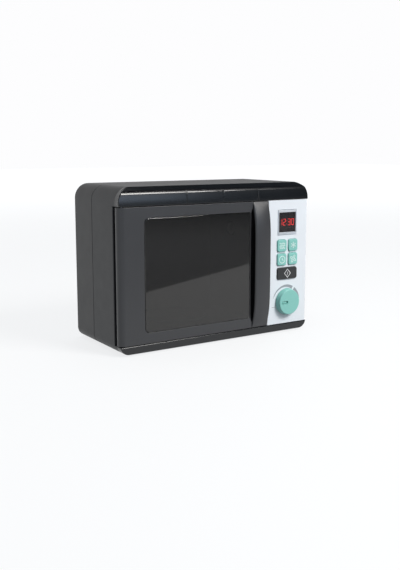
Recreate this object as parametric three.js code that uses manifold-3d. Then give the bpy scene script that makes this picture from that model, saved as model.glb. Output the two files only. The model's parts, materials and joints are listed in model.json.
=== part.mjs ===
// Toy microwave oven: a cabinet with a swinging door, five buttons, a timer dial, a turntable
// and a battery compartment. Lengths are in millimetres. X runs to the right along the front,
// Y runs from the front to the back, and Z is up from the surface that the feet stand on.

import * as THREE from "three";
import { mergeVertices } from "three/addons/utils/BufferGeometryUtils.js";
import Module from "manifold-3d";

const wasm = await Module();
wasm.setup();

// Clearances
const seam = 0.3; // between two fixed pieces, and round a pin in its hole
const doorGap = 0.7; // round the door
const overrun = 1; // how far a cut runs past the face it opens

// Facets of round shapes
const roundSides = 20;
const fineSides = 36;
const smallSides = 10;
const cornerSteps = 3; // half the number of facets of a small rounded corner
const broadSteps = 6; // the same for the cabinet's corners and the door's round edge
const edgeSteps = 2;

// Cabinet shell
const shellWidth = 290;
const shellHeight = 203.5;
const shellDepth = 130;
const shellWall = 2.5;
const topCornerRadius = 19;
const bottomCornerRadius = 12;
const rearEdge = 4;
const plinthHeight = 10;
const headerHeight = 23.5;
const partingDepth = 75; // from the front to the line where the two housings meet
const lipLength = 3; // of the tongue that closes the parting line from inside
const lipWall = 1.5;

// Header above the door: an almost upright band, then a chamfer up to the top
const bandHeight = 17;
const bandLean = 2;
const chamferDepth = 8;
const grooveWidth = 0.8;
const grooveDepth = 0.5;
const groovePitch = 55;
const grooveCount = 3;
const grooveShift = 5; // of the middle groove from the cabinet's middle

// Feet
const footHeight = 2;
const footRadius = 8;
const footInset = 22; // from the cabinet's sides, front and back to a foot's middle
const footSeat = 0.8; // depth of the shallow pocket that a foot is glued into

// Door. Its width is what the control panel leaves of the front
const doorThickness = 16;
const doorSkin = 3;
const hingeColumn = 18; // width of the solid left edge that carries the hinge pins
const windowLeftMargin = 34;
const windowMargin = 13.3; // above and below the window
const windowRadius = 6;
const windowRightRadius = 2;
const windowThickness = 2.2;
const windowSeat = 1.2; // depth of the frame's ledge in front of the pane's rim
const windowProud = 0.6; // of the pane's middle before the door's face
const windowEdge = 0.5;
const windowLedge = 2; // width of the ledge that the pane rests on, at all sides but the right
const windowHandleGap = 4;
const backWall = 2.5;

// Hinge pins
const pinRadius = 2;
const pinInDoor = 12;
const pinInCabinet = 6;
const pinBossRadius = 5;
const pinBossHeight = 8;

// Handle
const handleWidth = 25;
const handleMiddleReach = 8.6; // how far the handle stands proud in its middle; its ends are flush
const handleArchPower = 5; // how flat the arch is
const handleSeat = 3; // depth of the step in the door that the handle lies in
const handleWall = 3.5;
const handleEndBlock = 5; // height of the solid block at each end
const handleRadius = 1;
const handleSteps = 18;
const handlePostRadius = 3.5; // of the posts that the screws enter
const handlePostGap = 1; // from a post to the handle's right wall
const handleScrewInset = 24.3; // from the door's top and bottom edge
const pocketDepth = 7; // of the finger pocket in the door behind the handle
const pocketRadius = 10;
const pocketRib = 1.2; // between the window and the finger pocket
const coreWall = 2.2; // round the hollow behind the finger pocket

// Door latch and its catch
const latchThickness = 2.6;
const latchHeight = 10;
const latchReach = 10; // behind the door
const latchFoot = 2;
const latchFootDepth = 1.8;
const latchEdge = 4.4; // from the door's right edge to the latch
const latchSwing = 1.2; // room on the right for the arc that the latch swings through
const catchWall = 1.7;
const catchHeight = 18;
const catchRoom = 0.8; // above and below the latch in its slot

// Door switch
const doorSwitchWidth = 7;
const doorSwitchDepth = 8;
const doorSwitchHeight = 12;
const doorSwitchPlunger = 1.5;
const doorSwitchRise = 34; // above the latch

// Cooking cavity
const cavityLeftMargin = 27; // from the door's left edge
const cavityRightMargin = 18.2; // from the door's right edge
const cavitySill = 8; // above the door's bottom edge, and below its top edge
const cavityDepth = 96;
const cavityWall = 2;
const cavityFlange = 3;
const cavityRadius = 6;

// Turntable
const turntableRadius = 44;
const turntableThickness = 2.5;
const turntableRim = 4; // height of the raised rim
const turntableRimWidth = 3;
const turntableRing = 1; // height of each ring on the plate
const turntableRingWidth = 1.4;
const hubRadius = 10;
const hubHeight = 5;
const spindleRadius = 3;
const spindleFlange = 6;
const spindleFlangeHeight = 1.8;

// Control panel, and the shares of the free height that lie between what it carries, from the top
const panelWidth = 68.1;
const controlsShift = 1.9; // of the controls from the panel's middle, towards the door
const panelWall = 2.5;
const panelCornerRadius = 4;
const panelInnerCorner = 1.5;
const panelGapShares = { display: 0.256, keys: 0.113, start: 0.0375, dial: 0.3325 };

// Display
const bezelWidth = 31.8;
const bezelHeight = 33.6;
const bezelSide = 1.6; // width of the bezel's upright sides
const bezelBar = 3.3; // height of its top and bottom bars
const bezelProud = 1;
const bezelFlange = 1.6;
const bezelFlangeDepth = 1.4;
const bezelRadius = 1;
const paneThickness = 1.2;
const insertThickness = 1.6;
const digitHeight = 10.8;
const digitWidth = 4.8;
const digitStroke = 1;
const digitGap = 1.4;
const digitRelief = 0.4;

// Keys
const keyWidth = 15.2;
const keyHeight = 16.2;
const keyRadius = 3;
const keyPitchX = 19.1;
const keyPitchZ = 18.9;
const keyTravel = 1.5;
const keyProud = 2.2;
const keyFlange = 1; // width of the flange that holds a key behind the panel
const keyFlangeDepth = 1.5;
const keyStemRadius = 2.5;
const keyStem = 3.7; // length of the stem behind the flange
const keyEdge = 0.8;
const startWidth = 33.5;
const startHeight = 15.9;

// Circuit board and switches
const boardWidth = 52;
const boardThickness = 1.6;
const boardDepth = 14; // from the panel's face to the board
const boardMarginShare = 0.2; // of the panel's free height, above the display and below the start button
const boardPostInset = 3.5;
const boardPostRadius = 2.4;
const boardPinRadius = 1.1;
const switchSize = 6;
const switchBody = 3.5;
const switchPlungerRadius = 1.6;

// Timer dial
const dialRadius = 18.5;
const dialReach = 7.5; // thickness of the dial
const dialGap = 0.6; // between the dial and the panel
const dialEdge = 1.2;
const dialDraft = 1.5; // how much wider the dial is at the panel
const pointerStart = 2.5; // from the dial's axis
const pointerEnd = 12.5;
const pointerWidth = 3.2;
const pointerCorner = 1.5;
const pointerDepth = 1.6;
const shaftRadius = 3;
const shaftInDial = 4;
const shaftTail = 3; // behind the bearing wall
const bearingRadius = 6;
const bearingBoss = 4;
const guideRadius = 7;
const guideLength = 7.2; // of the boss behind the panel
const ratchetRadius = 12.5;
const ratchetTooth = 1.4;
const ratchetTeeth = 18;
const ratchetThickness = 2.5;
const clickLeaf = 0.8;
const clickHeight = 18;
const clickBump = 2;
const clickFoot = 9;
const clickFootHeight = 3;

// Battery compartment
const cellRadius = 7.25;
const cellLength = 49.5;
const cellNubRadius = 2.75;
const cellNub = 1;
const cellRoom = 0.35; // between a cell and what is beside it
const baySpare = 3.5; // beyond each end of the cells, for the contacts
const bayDepth = 16.2;
const bayWall = 2;
const bayRise = 43; // from the floor to the middle of the bay
const bayRightMargin = 9; // from the cabinet's right side
const hatchThickness = 2;
const hatchRim = 4; // from the bay to the hatch's edge
const hatchScrewEnd = 12; // from the bay to the hatch's edge on the side of the screw
const hatchRadius = 3;
const hatchGripWidth = 19;
const hatchGripHeight = 2;
const contactThickness = 0.8;
const contactMargin = 1.2; // from the bay's side to the contact's edge
const contactTipRadius = 2;
const contactBaseRadius = 3.5;

// Speaker
const speakerRadius = 20;
const speakerRim = 2;
const speakerDepth = 13;
const speakerMagnetRadius = 10;
const speakerMagnet = 5;
const speakerRise = 150; // above the floor
const speakerRingWall = 2;
const speakerRingDepth = 7;
const grilleSlot = 2;
const grillePitch = 4.6;
const grilleSlots = 7;
const grilleReach = 16.5;

// Air slots in the back
const ventWidth = 70;
const ventSlot = 2.4;
const ventPitch = 8;
const ventSlots = 4;
const ventRise = 142;

// Cavity lamp
const lensRadius = 8;
const lensLip = 1.6;
const lensProud = 1;
const lensFlange = 1.5;
const lensDepth = 42; // from the cavity's mouth
const lensDrop = 32; // below the cavity's ceiling
const ledRadius = 2.5;
const ledRim = 0.6;
const ledLength = 8;

// Screws
const screwRadius = 1.3;
const screwHeadRadius = 2.7;
const screwHead = 1.8;
const screwLength = 12;
const screwSlot = 0.8;
const screwSlotLength = 3.8;
const screwSlotDepth = 0.9;
const postRadius = 4.2;
const postSideInset = 12;
const postTopInset = 14.5;
const postBottomInset = 8.9;
const wellFloor = 3;
const hatchScrewLength = 8;
const handleScrewReach = 4; // into the handle

// Leads
const leadRadius = 0.9;
const leadSides = 6;
const leadSteps = 12;
const leadPitch = 8; // between the places where the leads meet the board

// Colours, roughness and metalness
const finishes = {
  glossBlack: [0x14171c, 0.22, 0],
  satinBlack: [0x1c1d1f, 0.5, 0],
  anthracite: [0x3f3f40, 0.42, 0],
  panelWhite: [0xe3edf6, 0.35, 0],
  mint: [0x7ccdb5, 0.4, 0],
  keyGrey: [0x2c2f33, 0.45, 0],
  chrome: [0xc4c8cc, 0.15, 1],
  smoke: [0x1c1e22, 0.08, 0],
  digitRed: [0xe23b3b, 0.5, 0],
  boardGreen: [0x1f6b45, 0.5, 0],
  steel: [0xb5b8bb, 0.3, 1],
  rubber: [0x202122, 0.9, 0],
  lensFrost: [0xdfe8f2, 0.5, 0],
  ledClear: [0xe8f0ff, 0.2, 0],
  cellJacket: [0x3a4a6a, 0.4, 0],
  speakerPaper: [0x2a2a2c, 0.8, 0],
  whitePlastic: [0xe6e6e2, 0.5, 0],
  redLead: [0xb02a26, 0.5, 0],
  greyLead: [0x77797c, 0.5, 0],
};

// Levels and lines that several pieces share
const left = -shellWidth / 2;
const right = shellWidth / 2;
const base = footHeight;
const top = base + shellHeight;
const plinthTop = base + plinthHeight;
const headerBottom = top - headerHeight;
const bandTop = headerBottom + bandHeight;
const bulkheadFront = doorThickness + doorGap;
const bulkheadBack = bulkheadFront + shellWall;
const rearInside = shellDepth - shellWall;
const cutFront = -overrun;

const doorLeft = left;
const doorRight = right - panelWidth - doorGap;
const doorBottom = plinthTop + doorGap;
const doorTop = headerBottom - doorGap;
const doorMiddle = (doorBottom + doorTop) / 2;
const hingeX = doorLeft + doorThickness / 2;
const hingeY = doorThickness / 2;
const handleLeft = doorRight - handleWidth;
const windowX = [doorLeft + windowLeftMargin, handleLeft - windowHandleGap];
const windowZ = [doorBottom + windowMargin, doorTop - windowMargin];
const pocketX = [windowX[1] + pocketRib, doorRight - handleWall];
const pocketZ = [doorBottom + handleEndBlock, doorTop - handleEndBlock];

const cavityX = [doorLeft + cavityLeftMargin, doorRight - cavityRightMargin];
const cavityZ = [doorBottom + cavitySill, doorTop - cavitySill];
const cavityY = [bulkheadBack + seam, bulkheadBack + seam + cavityDepth];
const turntableX = (cavityX[0] + cavityX[1]) / 2;
const turntableY = (cavityY[0] + cavityY[1] - cavityWall) / 2;

const panelX = [doorRight + doorGap, right];
const panelZ = [plinthTop + seam, headerBottom - seam];
const panelBack = bulkheadFront - seam;
const controlsX = (panelX[0] + panelX[1]) / 2 - controlsShift;
const flangeFront = panelWall + seam;

// The controls, one below the other, each with its flange
const displayRoom = bezelHeight + 2 * bezelFlange;
const keysRoom = keyPitchZ + keyHeight + 2 * keyFlange;
const startRoom = startHeight + 2 * keyFlange;
const controlsRoom = displayRoom + keysRoom + startRoom + 2 * dialRadius;
const panelFree = panelZ[1] - panelZ[0] - 2 * panelWall - controlsRoom;
const displayTop = panelZ[1] - panelWall - panelFree * panelGapShares.display;
const keysTop = displayTop - displayRoom - panelFree * panelGapShares.keys;
const startTop = keysTop - keysRoom - panelFree * panelGapShares.start;
const dialTop = startTop - startRoom - panelFree * panelGapShares.dial;
const bezelX = [controlsX - bezelWidth / 2, controlsX + bezelWidth / 2];
const bezelZ = [displayTop - displayRoom + bezelFlange, displayTop - bezelFlange];
const keysZ = keysTop - keysRoom / 2;
const startZ = startTop - startRoom / 2;
const dialZ = dialTop - dialRadius;
const boardX = [controlsX - boardWidth / 2, controlsX + boardWidth / 2];
const boardMargin = panelFree * boardMarginShare;
const boardZ = [startTop - startRoom - boardMargin, displayTop + boardMargin];

const latchX = [doorRight - latchEdge - latchThickness, doorRight - latchEdge];
const lensY = cavityY[0] + lensDepth;
const lensZ = cavityZ[1] - lensDrop;

const bayWidth = cellLength + cellNub + 2 * baySpare;
const bayHeight = 4 * cellRadius + 3 * cellRoom;
const bayX = [right - bayRightMargin - bayWidth, right - bayRightMargin];
const bayZ = [bayRise - bayHeight / 2, bayRise + bayHeight / 2];
const hatchSeat = shellDepth - hatchThickness - seam;
const bayY = [hatchSeat - bayDepth, hatchSeat];
const hatchX = [bayX[0] - hatchScrewEnd, bayX[1] + hatchRim];
const hatchZ = [bayZ[0] - hatchRim, bayZ[1] + hatchRim];
const hatchScrewX = (hatchX[0] + bayX[0]) / 2;
const cellsX = (bayX[0] + bayX[1]) / 2;
const cellsY = bayY[1] - cellRoom - cellRadius;

const postPlaces = [
  [left + postSideInset, top - postTopInset],
  [turntableX, top - postTopInset],
  [right - postSideInset, top - postTopInset],
  [left + postSideInset, base + postBottomInset],
  [turntableX, base + postBottomInset],
  [right - postSideInset, base + postBottomInset],
];
const footPlaces = [
  [left + footInset, footInset],
  [right - footInset, footInset],
  [left + footInset, shellDepth - footInset],
  [right - footInset, shellDepth - footInset],
];
const keyPlaces = [
  { name: "key_waves", x: controlsX - keyPitchX / 2, z: keysZ + keyPitchZ / 2 },
  { name: "key_defrost", x: controlsX + keyPitchX / 2, z: keysZ + keyPitchZ / 2 },
  { name: "key_clock", x: controlsX - keyPitchX / 2, z: keysZ - keyPitchZ / 2 },
  { name: "key_grill", x: controlsX + keyPitchX / 2, z: keysZ - keyPitchZ / 2 },
];

// Makes a solid of a closed geometry.
function solidOf(geometry) {
  const loose = geometry.index ? geometry.toNonIndexed() : geometry;
  loose.deleteAttribute("normal");
  loose.deleteAttribute("uv");
  const merged = mergeVertices(loose);
  const corners = merged.index.array;
  const kept = [];
  for (let i = 0; i < corners.length; i += 3) {
    const [a, b, c] = [corners[i], corners[i + 1], corners[i + 2]];
    if (a !== b && b !== c && c !== a) kept.push(a, b, c);
  }
  const vertProperties = merged.attributes.position.array;
  const triVerts = new Uint32Array(kept);
  return new wasm.Manifold(new wasm.Mesh({ numProp: 3, vertProperties, triVerts }));
}

// Grows a range by an amount at both ends; a negative amount shrinks it.
function grown([low, high], amount) {
  return [low - amount, high + amount];
}

// The range of a given length about its middle.
function about(middle, length) {
  return [middle - length / 2, middle + length / 2];
}

// Joins all the solids of a list.
function joined(solids) {
  return solids.reduce((whole, next) => whole.add(next));
}

// Cuts each of the tools out of a body.
function cut(body, tools) {
  return tools.reduce((rest, tool) => rest.subtract(tool), body);
}

function block(x, y, z) {
  const geometry = new THREE.BoxGeometry(x[1] - x[0], y[1] - y[0], z[1] - z[0]);
  return solidOf(geometry.translate((x[0] + x[1]) / 2, (y[0] + y[1]) / 2, (z[0] + z[1]) / 2));
}

// Round bars along each axis. The range is where the bar runs; the other two numbers place it.
function barX(x, y, z, radius, sides = roundSides) {
  const geometry = new THREE.CylinderGeometry(radius, radius, x[1] - x[0], sides);
  return solidOf(geometry.rotateZ(Math.PI / 2).translate((x[0] + x[1]) / 2, y, z));
}

function barY(x, y, z, radius, sides = roundSides) {
  const geometry = new THREE.CylinderGeometry(radius, radius, y[1] - y[0], sides);
  return solidOf(geometry.translate(x, (y[0] + y[1]) / 2, z));
}

function barZ(x, y, z, radius, sides = roundSides) {
  const geometry = new THREE.CylinderGeometry(radius, radius, z[1] - z[0], sides);
  return solidOf(geometry.rotateX(Math.PI / 2).translate(x, y, (z[0] + z[1]) / 2));
}

// A rectangle with its own radius at each corner; a radius of 0 leaves the corner square.
function outline(x, z, { bottomLeft = 0, bottomRight = 0, topRight = 0, topLeft = 0 } = {}) {
  const shape = new THREE.Shape();
  const corner = (cx, cz, radius, turn) =>
    radius > 0
      ? shape.absarc(cx, cz, radius, turn, turn + Math.PI / 2, false)
      : shape.lineTo(cx, cz);
  shape.moveTo(x[0] + bottomLeft, z[0]);
  corner(x[1] - bottomRight, z[0] + bottomRight, bottomRight, -Math.PI / 2);
  corner(x[1] - topRight, z[1] - topRight, topRight, 0);
  corner(x[0] + topLeft, z[1] - topLeft, topLeft, Math.PI / 2);
  if (bottomLeft > 0) corner(x[0] + bottomLeft, z[0] + bottomLeft, bottomLeft, Math.PI);
  else shape.lineTo(x[0], z[0]);
  return shape;
}

// A rectangle whose four corners have one radius.
function evenOutline(x, z, radius) {
  return outline(x, z, {
    bottomLeft: radius,
    bottomRight: radius,
    topRight: radius,
    topLeft: radius,
  });
}

// A polygon through a list of points.
function polygon(points) {
  return new THREE.Shape(points.map(([a, b]) => new THREE.Vector2(a, b)));
}

// Extrudes a front view along Y. An edge above 0 rounds the rim of both ends by that much.
function slab(shape, y, edge = 0, steps = cornerSteps) {
  const geometry = new THREE.ExtrudeGeometry(shape, {
    depth: y[1] - y[0] - 2 * edge,
    curveSegments: steps,
    bevelEnabled: edge > 0,
    bevelThickness: edge,
    bevelSize: edge,
    bevelOffset: -edge,
    bevelSegments: edgeSteps,
  });
  return solidOf(geometry.rotateX(Math.PI / 2).translate(0, y[1] - edge, 0));
}

// Extrudes a plan, drawn in X and Y, upwards along Z.
function column(shape, z, steps = cornerSteps) {
  const options = { depth: z[1] - z[0], curveSegments: steps, bevelEnabled: false };
  return solidOf(new THREE.ExtrudeGeometry(shape, options).translate(0, 0, z[0]));
}

// Extrudes a side view, drawn in Y and Z, along X.
function beam(shape, x) {
  const sideView = new THREE.Matrix4().makeBasis(
    new THREE.Vector3(0, 1, 0),
    new THREE.Vector3(0, 0, 1),
    new THREE.Vector3(1, 0, 0),
  );
  const options = { depth: x[1] - x[0], curveSegments: cornerSteps, bevelEnabled: false };
  const geometry = new THREE.ExtrudeGeometry(shape, options).applyMatrix4(sideView);
  return solidOf(geometry.translate(x[0], 0, 0));
}

// Turns a profile of [radius, height] points, from the lowest up, about the Y axis.
function turned(points, sides = roundSides) {
  const profile = points.map(([radius, height]) => new THREE.Vector2(radius, height));
  return solidOf(new THREE.LatheGeometry(profile, sides));
}

// The same about the Z axis.
function turnedUp(points, sides = roundSides) {
  const profile = points.map(([radius, height]) => new THREE.Vector2(radius, height));
  return solidOf(new THREE.LatheGeometry(profile, sides).rotateX(Math.PI / 2));
}

// A mesh of its own for a solid, with its own material.
function piece(name, solid, finish, [x, y, z] = [0, 0, 0]) {
  const made = solid.getMesh();
  const geometry = new THREE.BufferGeometry();
  geometry.setAttribute("position", new THREE.BufferAttribute(made.vertProperties, 3));
  geometry.setIndex(new THREE.BufferAttribute(made.triVerts, 1));
  const [color, roughness, metalness] = finishes[finish];
  const material = new THREE.MeshStandardMaterial({ color, roughness, metalness });
  material.flatShading = true;
  geometry.computeVertexNormals();
  const mesh = new THREE.Mesh(geometry, material);
  mesh.name = name;
  mesh.position.set(x, y, z);
  return mesh;
}

// The cabinet's front view, moved in by an amount all round.
function shellOutline(inset) {
  return outline(grown([left, right], -inset), grown([base, top], -inset), {
    bottomLeft: bottomCornerRadius - inset,
    bottomRight: bottomCornerRadius - inset,
    topRight: topCornerRadius - inset,
    topLeft: topCornerRadius - inset,
  });
}

// What lies in front of the header's band and chamfer, moved back and down by an amount.
function headerFront(back, down) {
  const side = polygon([
    [cutFront, headerBottom - overrun - down],
    [back, headerBottom - overrun - down],
    [back, headerBottom - down],
    [back + bandLean, bandTop - down],
    [back + bandLean + chamferDepth, top - down],
    [back + bandLean + chamferDepth, top + overrun],
    [cutFront, top + overrun],
  ]);
  return beam(side, grown([left, right], overrun));
}

// The short lines across the header's band.
function headerGrooves() {
  const room = grown([0, bandLean], overrun);
  const depth = headerFront(grooveDepth, 0);
  return Array.from({ length: grooveCount }, (_, i) => {
    const middle = grooveShift + (i - (grooveCount - 1) / 2) * groovePitch;
    const strip = block(about(middle, grooveWidth), room, [headerBottom, bandTop]);
    return strip.intersect(depth);
  });
}

function headerHollow() {
  const inside = slab(shellOutline(shellWall), [0, bulkheadBack + overrun]);
  const above = block([left, right], [0, bulkheadBack + overrun], [headerBottom + shellWall, top]);
  return inside.intersect(above).subtract(headerFront(shellWall, shellWall));
}

function plinthHollow() {
  const y = [shellWall, bulkheadBack + overrun];
  const below = block([left, right], y, [base, plinthTop - shellWall]);
  return slab(shellOutline(shellWall), y).intersect(below);
}

// The cabinet's bosses for the hinge pins, in the header and in the plinth.
function pinBosses() {
  const inside = slab(shellOutline(shellWall / 2), [shellWall / 2, bulkheadBack]);
  return [
    [headerBottom, headerBottom + pinBossHeight],
    [base, plinthTop],
  ].map((z) => barZ(hingeX, hingeY, z, pinBossRadius).intersect(inside));
}

function pinHoles() {
  const reach = pinInCabinet + seam;
  return [
    barZ(hingeX, hingeY, [headerBottom - overrun, headerBottom + reach], pinRadius + seam),
    barZ(hingeX, hingeY, [plinthTop - reach, plinthTop + overrun], pinRadius + seam),
  ];
}

// Posts that the housing screws bite into. The upper ones start at the header's band.
function screwPosts() {
  return postPlaces.map(([x, z]) => {
    const start = z > headerBottom ? bandLean + shellWall / 2 : bulkheadFront + shellWall / 2;
    return barY(x, [start, partingDepth], z, postRadius);
  });
}

function screwPilots() {
  const depth = partingDepth + seam + wellFloor - screwLength - overrun;
  return postPlaces.map(([x, z]) =>
    barY(x, [depth, partingDepth + overrun], z, screwRadius + seam, smallSides),
  );
}

function latchSlot() {
  const x = [latchX[0] - seam, latchX[1] + latchSwing];
  const z = grown(about(doorMiddle, latchHeight), catchRoom);
  return block(x, [bulkheadFront - overrun, bulkheadBack + overrun], z);
}

function footPockets() {
  return footPlaces.map(([x, y]) =>
    barZ(x, y, [base - overrun, base + footSeat], footRadius + seam),
  );
}

function frontHousing() {
  const through = [bulkheadFront - overrun, bulkheadBack + overrun];
  const sides = grown([left, right], overrun);
  const shell = cut(slab(shellOutline(0), [0, partingDepth], 0, broadSteps), [
    headerFront(0, 0),
    block(sides, [cutFront, bulkheadFront], [plinthTop, headerBottom]),
    slab(shellOutline(shellWall), [bulkheadBack, partingDepth + overrun]),
    headerHollow(),
    plinthHollow(),
  ]);
  const bearing = [bulkheadFront, bulkheadBack + bearingBoss];
  const bosses = [...pinBosses(), ...screwPosts(), barY(controlsX, bearing, dialZ, bearingRadius)];
  const electronicsX = grown(boardX, -boardPostInset);
  const electronicsZ = [dialTop, boardZ[1]];
  const switchZ = doorMiddle + doorSwitchRise;
  const switchHole = doorSwitchPlunger + seam;
  const shaftHole = [bearing[0] - overrun, bearing[1] + overrun];
  return cut(joined([shell, ...bosses]), [
    slab(evenOutline(cavityX, cavityZ, cavityRadius), through),
    slab(evenOutline(electronicsX, electronicsZ, cavityRadius), through),
    barY(controlsX, shaftHole, dialZ, shaftRadius + seam),
    barY((latchX[0] + latchX[1]) / 2, through, switchZ, switchHole, smallSides),
    latchSlot(),
    ...pinHoles(),
    ...screwPilots(),
    ...headerGrooves(),
    ...footPockets(),
  ]);
}

// The tongue on the rear housing that reaches into the front one.
function lip() {
  const inner = shellWall + seam + lipWall;
  const root = [partingDepth + seam, partingDepth + seam + lipLength];
  const tip = [partingDepth - lipLength, partingDepth + seam + lipLength];
  const band = slab(shellOutline(shellWall + seam), tip);
  const rootBand = slab(shellOutline(shellWall / 2), root);
  return band.add(rootBand).subtract(slab(shellOutline(inner), grown(tip, overrun)));
}

// Wells in the back that lead the housing screws to the posts.
function screwWells() {
  return postPlaces.map(([x, z]) =>
    barY(x, [partingDepth + seam, rearInside + shellWall / 2], z, postRadius),
  );
}

function wellBores() {
  const seat = partingDepth + seam + wellFloor;
  return postPlaces.flatMap(([x, z]) => [
    barY(x, [seat, shellDepth + overrun], z, screwHeadRadius + seam, smallSides),
    barY(x, [partingDepth - overrun, seat + overrun], z, screwRadius + seam, smallSides),
  ]);
}

// Slots one above the other, each cut to the width that a function gives for its height.
function slots(x, z, count, pitch, height, halfWidth) {
  return Array.from({ length: count }, (_, i) => {
    const rise = (i - (count - 1) / 2) * pitch;
    const through = grown([rearInside, shellDepth], overrun);
    return block(about(x, 2 * halfWidth(rise)), through, about(z + rise, height));
  });
}

function speakerGrille() {
  const chord = (rise) => Math.sqrt(grilleReach ** 2 - rise ** 2);
  return slots(controlsX, speakerRise, grilleSlots, grillePitch, grilleSlot, chord);
}

function airSlots() {
  return slots(turntableX, ventRise, ventSlots, ventPitch, ventSlot, () => ventWidth / 2);
}

function rearHousing() {
  const run = [partingDepth + seam - rearEdge, shellDepth];
  const outer = slab(shellOutline(0), run, rearEdge, broadSteps);
  const trim = [partingDepth - rearEdge - overrun, partingDepth + seam];
  const inside = slab(shellOutline(shellWall), [partingDepth, rearInside]);
  const walls = cut(outer, [block(grown([left, right], overrun), trim, [0, top]), inside]);
  const ring = [rearInside - speakerRingDepth, rearInside + shellWall / 2];
  const bay = block(
    [hatchX[0] - bayWall, Math.min(hatchX[1] + bayWall, right - shellWall / 2)],
    [bayY[0] - bayWall, shellDepth],
    grown(hatchZ, bayWall),
  );
  const ringRadius = speakerRadius + seam + speakerRingWall;
  const speakerRing = barY(controlsX, ring, speakerRise, ringRadius);
  const parts = [walls, lip(), ...screwWells(), speakerRing, bay];
  const ringBore = [ring[0] - overrun, rearInside];
  const pilot = [shellDepth - hatchScrewLength - overrun, shellDepth];
  return cut(joined(parts), [
    barY(controlsX, ringBore, speakerRise, speakerRadius + seam),
    block(bayX, [bayY[0], shellDepth], bayZ),
    slab(evenOutline(grown(hatchX, seam), grown(hatchZ, seam), hatchRadius), [
      hatchSeat,
      shellDepth + overrun,
    ]),
    barY(hatchScrewX, pilot, bayRise, screwRadius + seam, smallSides),
    ...wellBores(),
    ...speakerGrille(),
    ...airSlots(),
    ...footPockets(),
  ]);
}

// The tub behind the door, with a flange that rests against the front housing.
function cavityLiner() {
  const ring = (spread) => evenOutline(grown(cavityX, spread), grown(cavityZ, spread), cavityRadius);
  const outer = slab(ring(cavityWall), cavityY);
  const flange = slab(ring(cavityWall + cavityFlange), [cavityY[0], cavityY[0] + cavityWall]);
  const inside = slab(ring(0), [cavityY[0] - overrun, cavityY[1] - cavityWall]);
  const floor = [cavityZ[0] - cavityWall - overrun, cavityZ[0] + overrun];
  const side = [cavityX[1] - overrun, cavityX[1] + cavityWall + overrun];
  return cut(outer.add(flange), [
    inside,
    barZ(turntableX, turntableY, floor, spindleRadius + seam),
    barX(side, lensY, lensZ, lensRadius + seam),
  ]);
}

// The control panel: a tray, open at the back, with the openings of all that it carries.
function controlPanel() {
  const plan = outline(panelX, [0, panelBack], {
    bottomLeft: panelInnerCorner,
    bottomRight: panelCornerRadius,
  });
  const depth = [panelWall, panelBack + overrun];
  const inside = block(grown(panelX, -panelWall), depth, grown(panelZ, -panelWall));
  const tray = column(plan, panelZ).subtract(inside);
  const posts = boardPosts().flatMap(([x, z]) => [
    barY(x, [panelWall / 2, boardDepth - seam], z, boardPostRadius, smallSides),
    barY(x, [panelWall, boardDepth + boardThickness], z, boardPinRadius, smallSides),
  ]);
  const guide = barY(controlsX, [panelWall / 2, panelWall + guideLength], dialZ, guideRadius);
  const through = [cutFront, panelWall + overrun];
  const keyHole = (x, z, width, height) =>
    slab(evenOutline(grown(about(x, width), seam), grown(about(z, height), seam), keyRadius), through);
  return cut(joined([tray, guide, ...posts]), [
    slab(evenOutline(grown(bezelX, seam), grown(bezelZ, seam), bezelRadius), through),
    ...keyPlaces.map(({ x, z }) => keyHole(x, z, keyWidth, keyHeight)),
    keyHole(controlsX, startZ, startWidth, startHeight),
    barY(controlsX, [cutFront, panelWall + guideLength + overrun], dialZ, shaftRadius + seam),
  ]);
}

function boardPosts() {
  const xs = grown(boardX, -boardPostInset);
  const zs = grown(boardZ, -boardPostInset);
  return xs.flatMap((x) => zs.map((z) => [x, z]));
}

// The inside of the bezel, where the pane and the digits sit.
function bezelOpening(clearance) {
  return [
    grown(bezelX, -bezelSide - clearance),
    grown(bezelZ, -bezelBar - clearance),
  ];
}

function displayFrame() {
  const back = flangeFront + bezelFlangeDepth;
  const ring = slab(evenOutline(bezelX, bezelZ, bezelRadius), [-bezelProud, back]);
  const flange = block(grown(bezelX, bezelFlange), [flangeFront, back], grown(bezelZ, bezelFlange));
  const [x, z] = bezelOpening(0);
  return ring.add(flange).subtract(block(x, grown([-bezelProud, back], overrun), z));
}

function displayWindow() {
  const [x, z] = bezelOpening(seam);
  return block(x, [0, paneThickness], z);
}

// The seven bars of a digit, as shares of its width and height from its middle.
const barShares = {
  top: { across: 0, up: 0.5 },
  middle: { across: 0, up: 0 },
  bottom: { across: 0, up: -0.5 },
  upperLeft: { across: -0.5, up: 0.25 },
  upperRight: { across: 0.5, up: 0.25 },
  lowerLeft: { across: -0.5, up: -0.25 },
  lowerRight: { across: 0.5, up: -0.25 },
};
const shownDigits = [1, 2, 3, 0];
const digitBars = {
  0: ["top", "bottom", "upperLeft", "upperRight", "lowerLeft", "lowerRight"],
  1: ["upperRight", "lowerRight"],
  2: ["top", "middle", "bottom", "upperRight", "lowerLeft"],
  3: ["top", "middle", "bottom", "upperRight", "lowerRight"],
};

function digitBar(name, x, z, y) {
  const { across, up } = barShares[name];
  const [width, height] = [digitWidth - digitStroke, digitHeight - digitStroke];
  const upright = across !== 0;
  const barWidth = upright ? digitStroke : digitWidth;
  const barHeight = upright ? height / 2 : digitStroke;
  return block(about(x + across * width, barWidth), y, about(z + up * height, barHeight));
}

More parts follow.
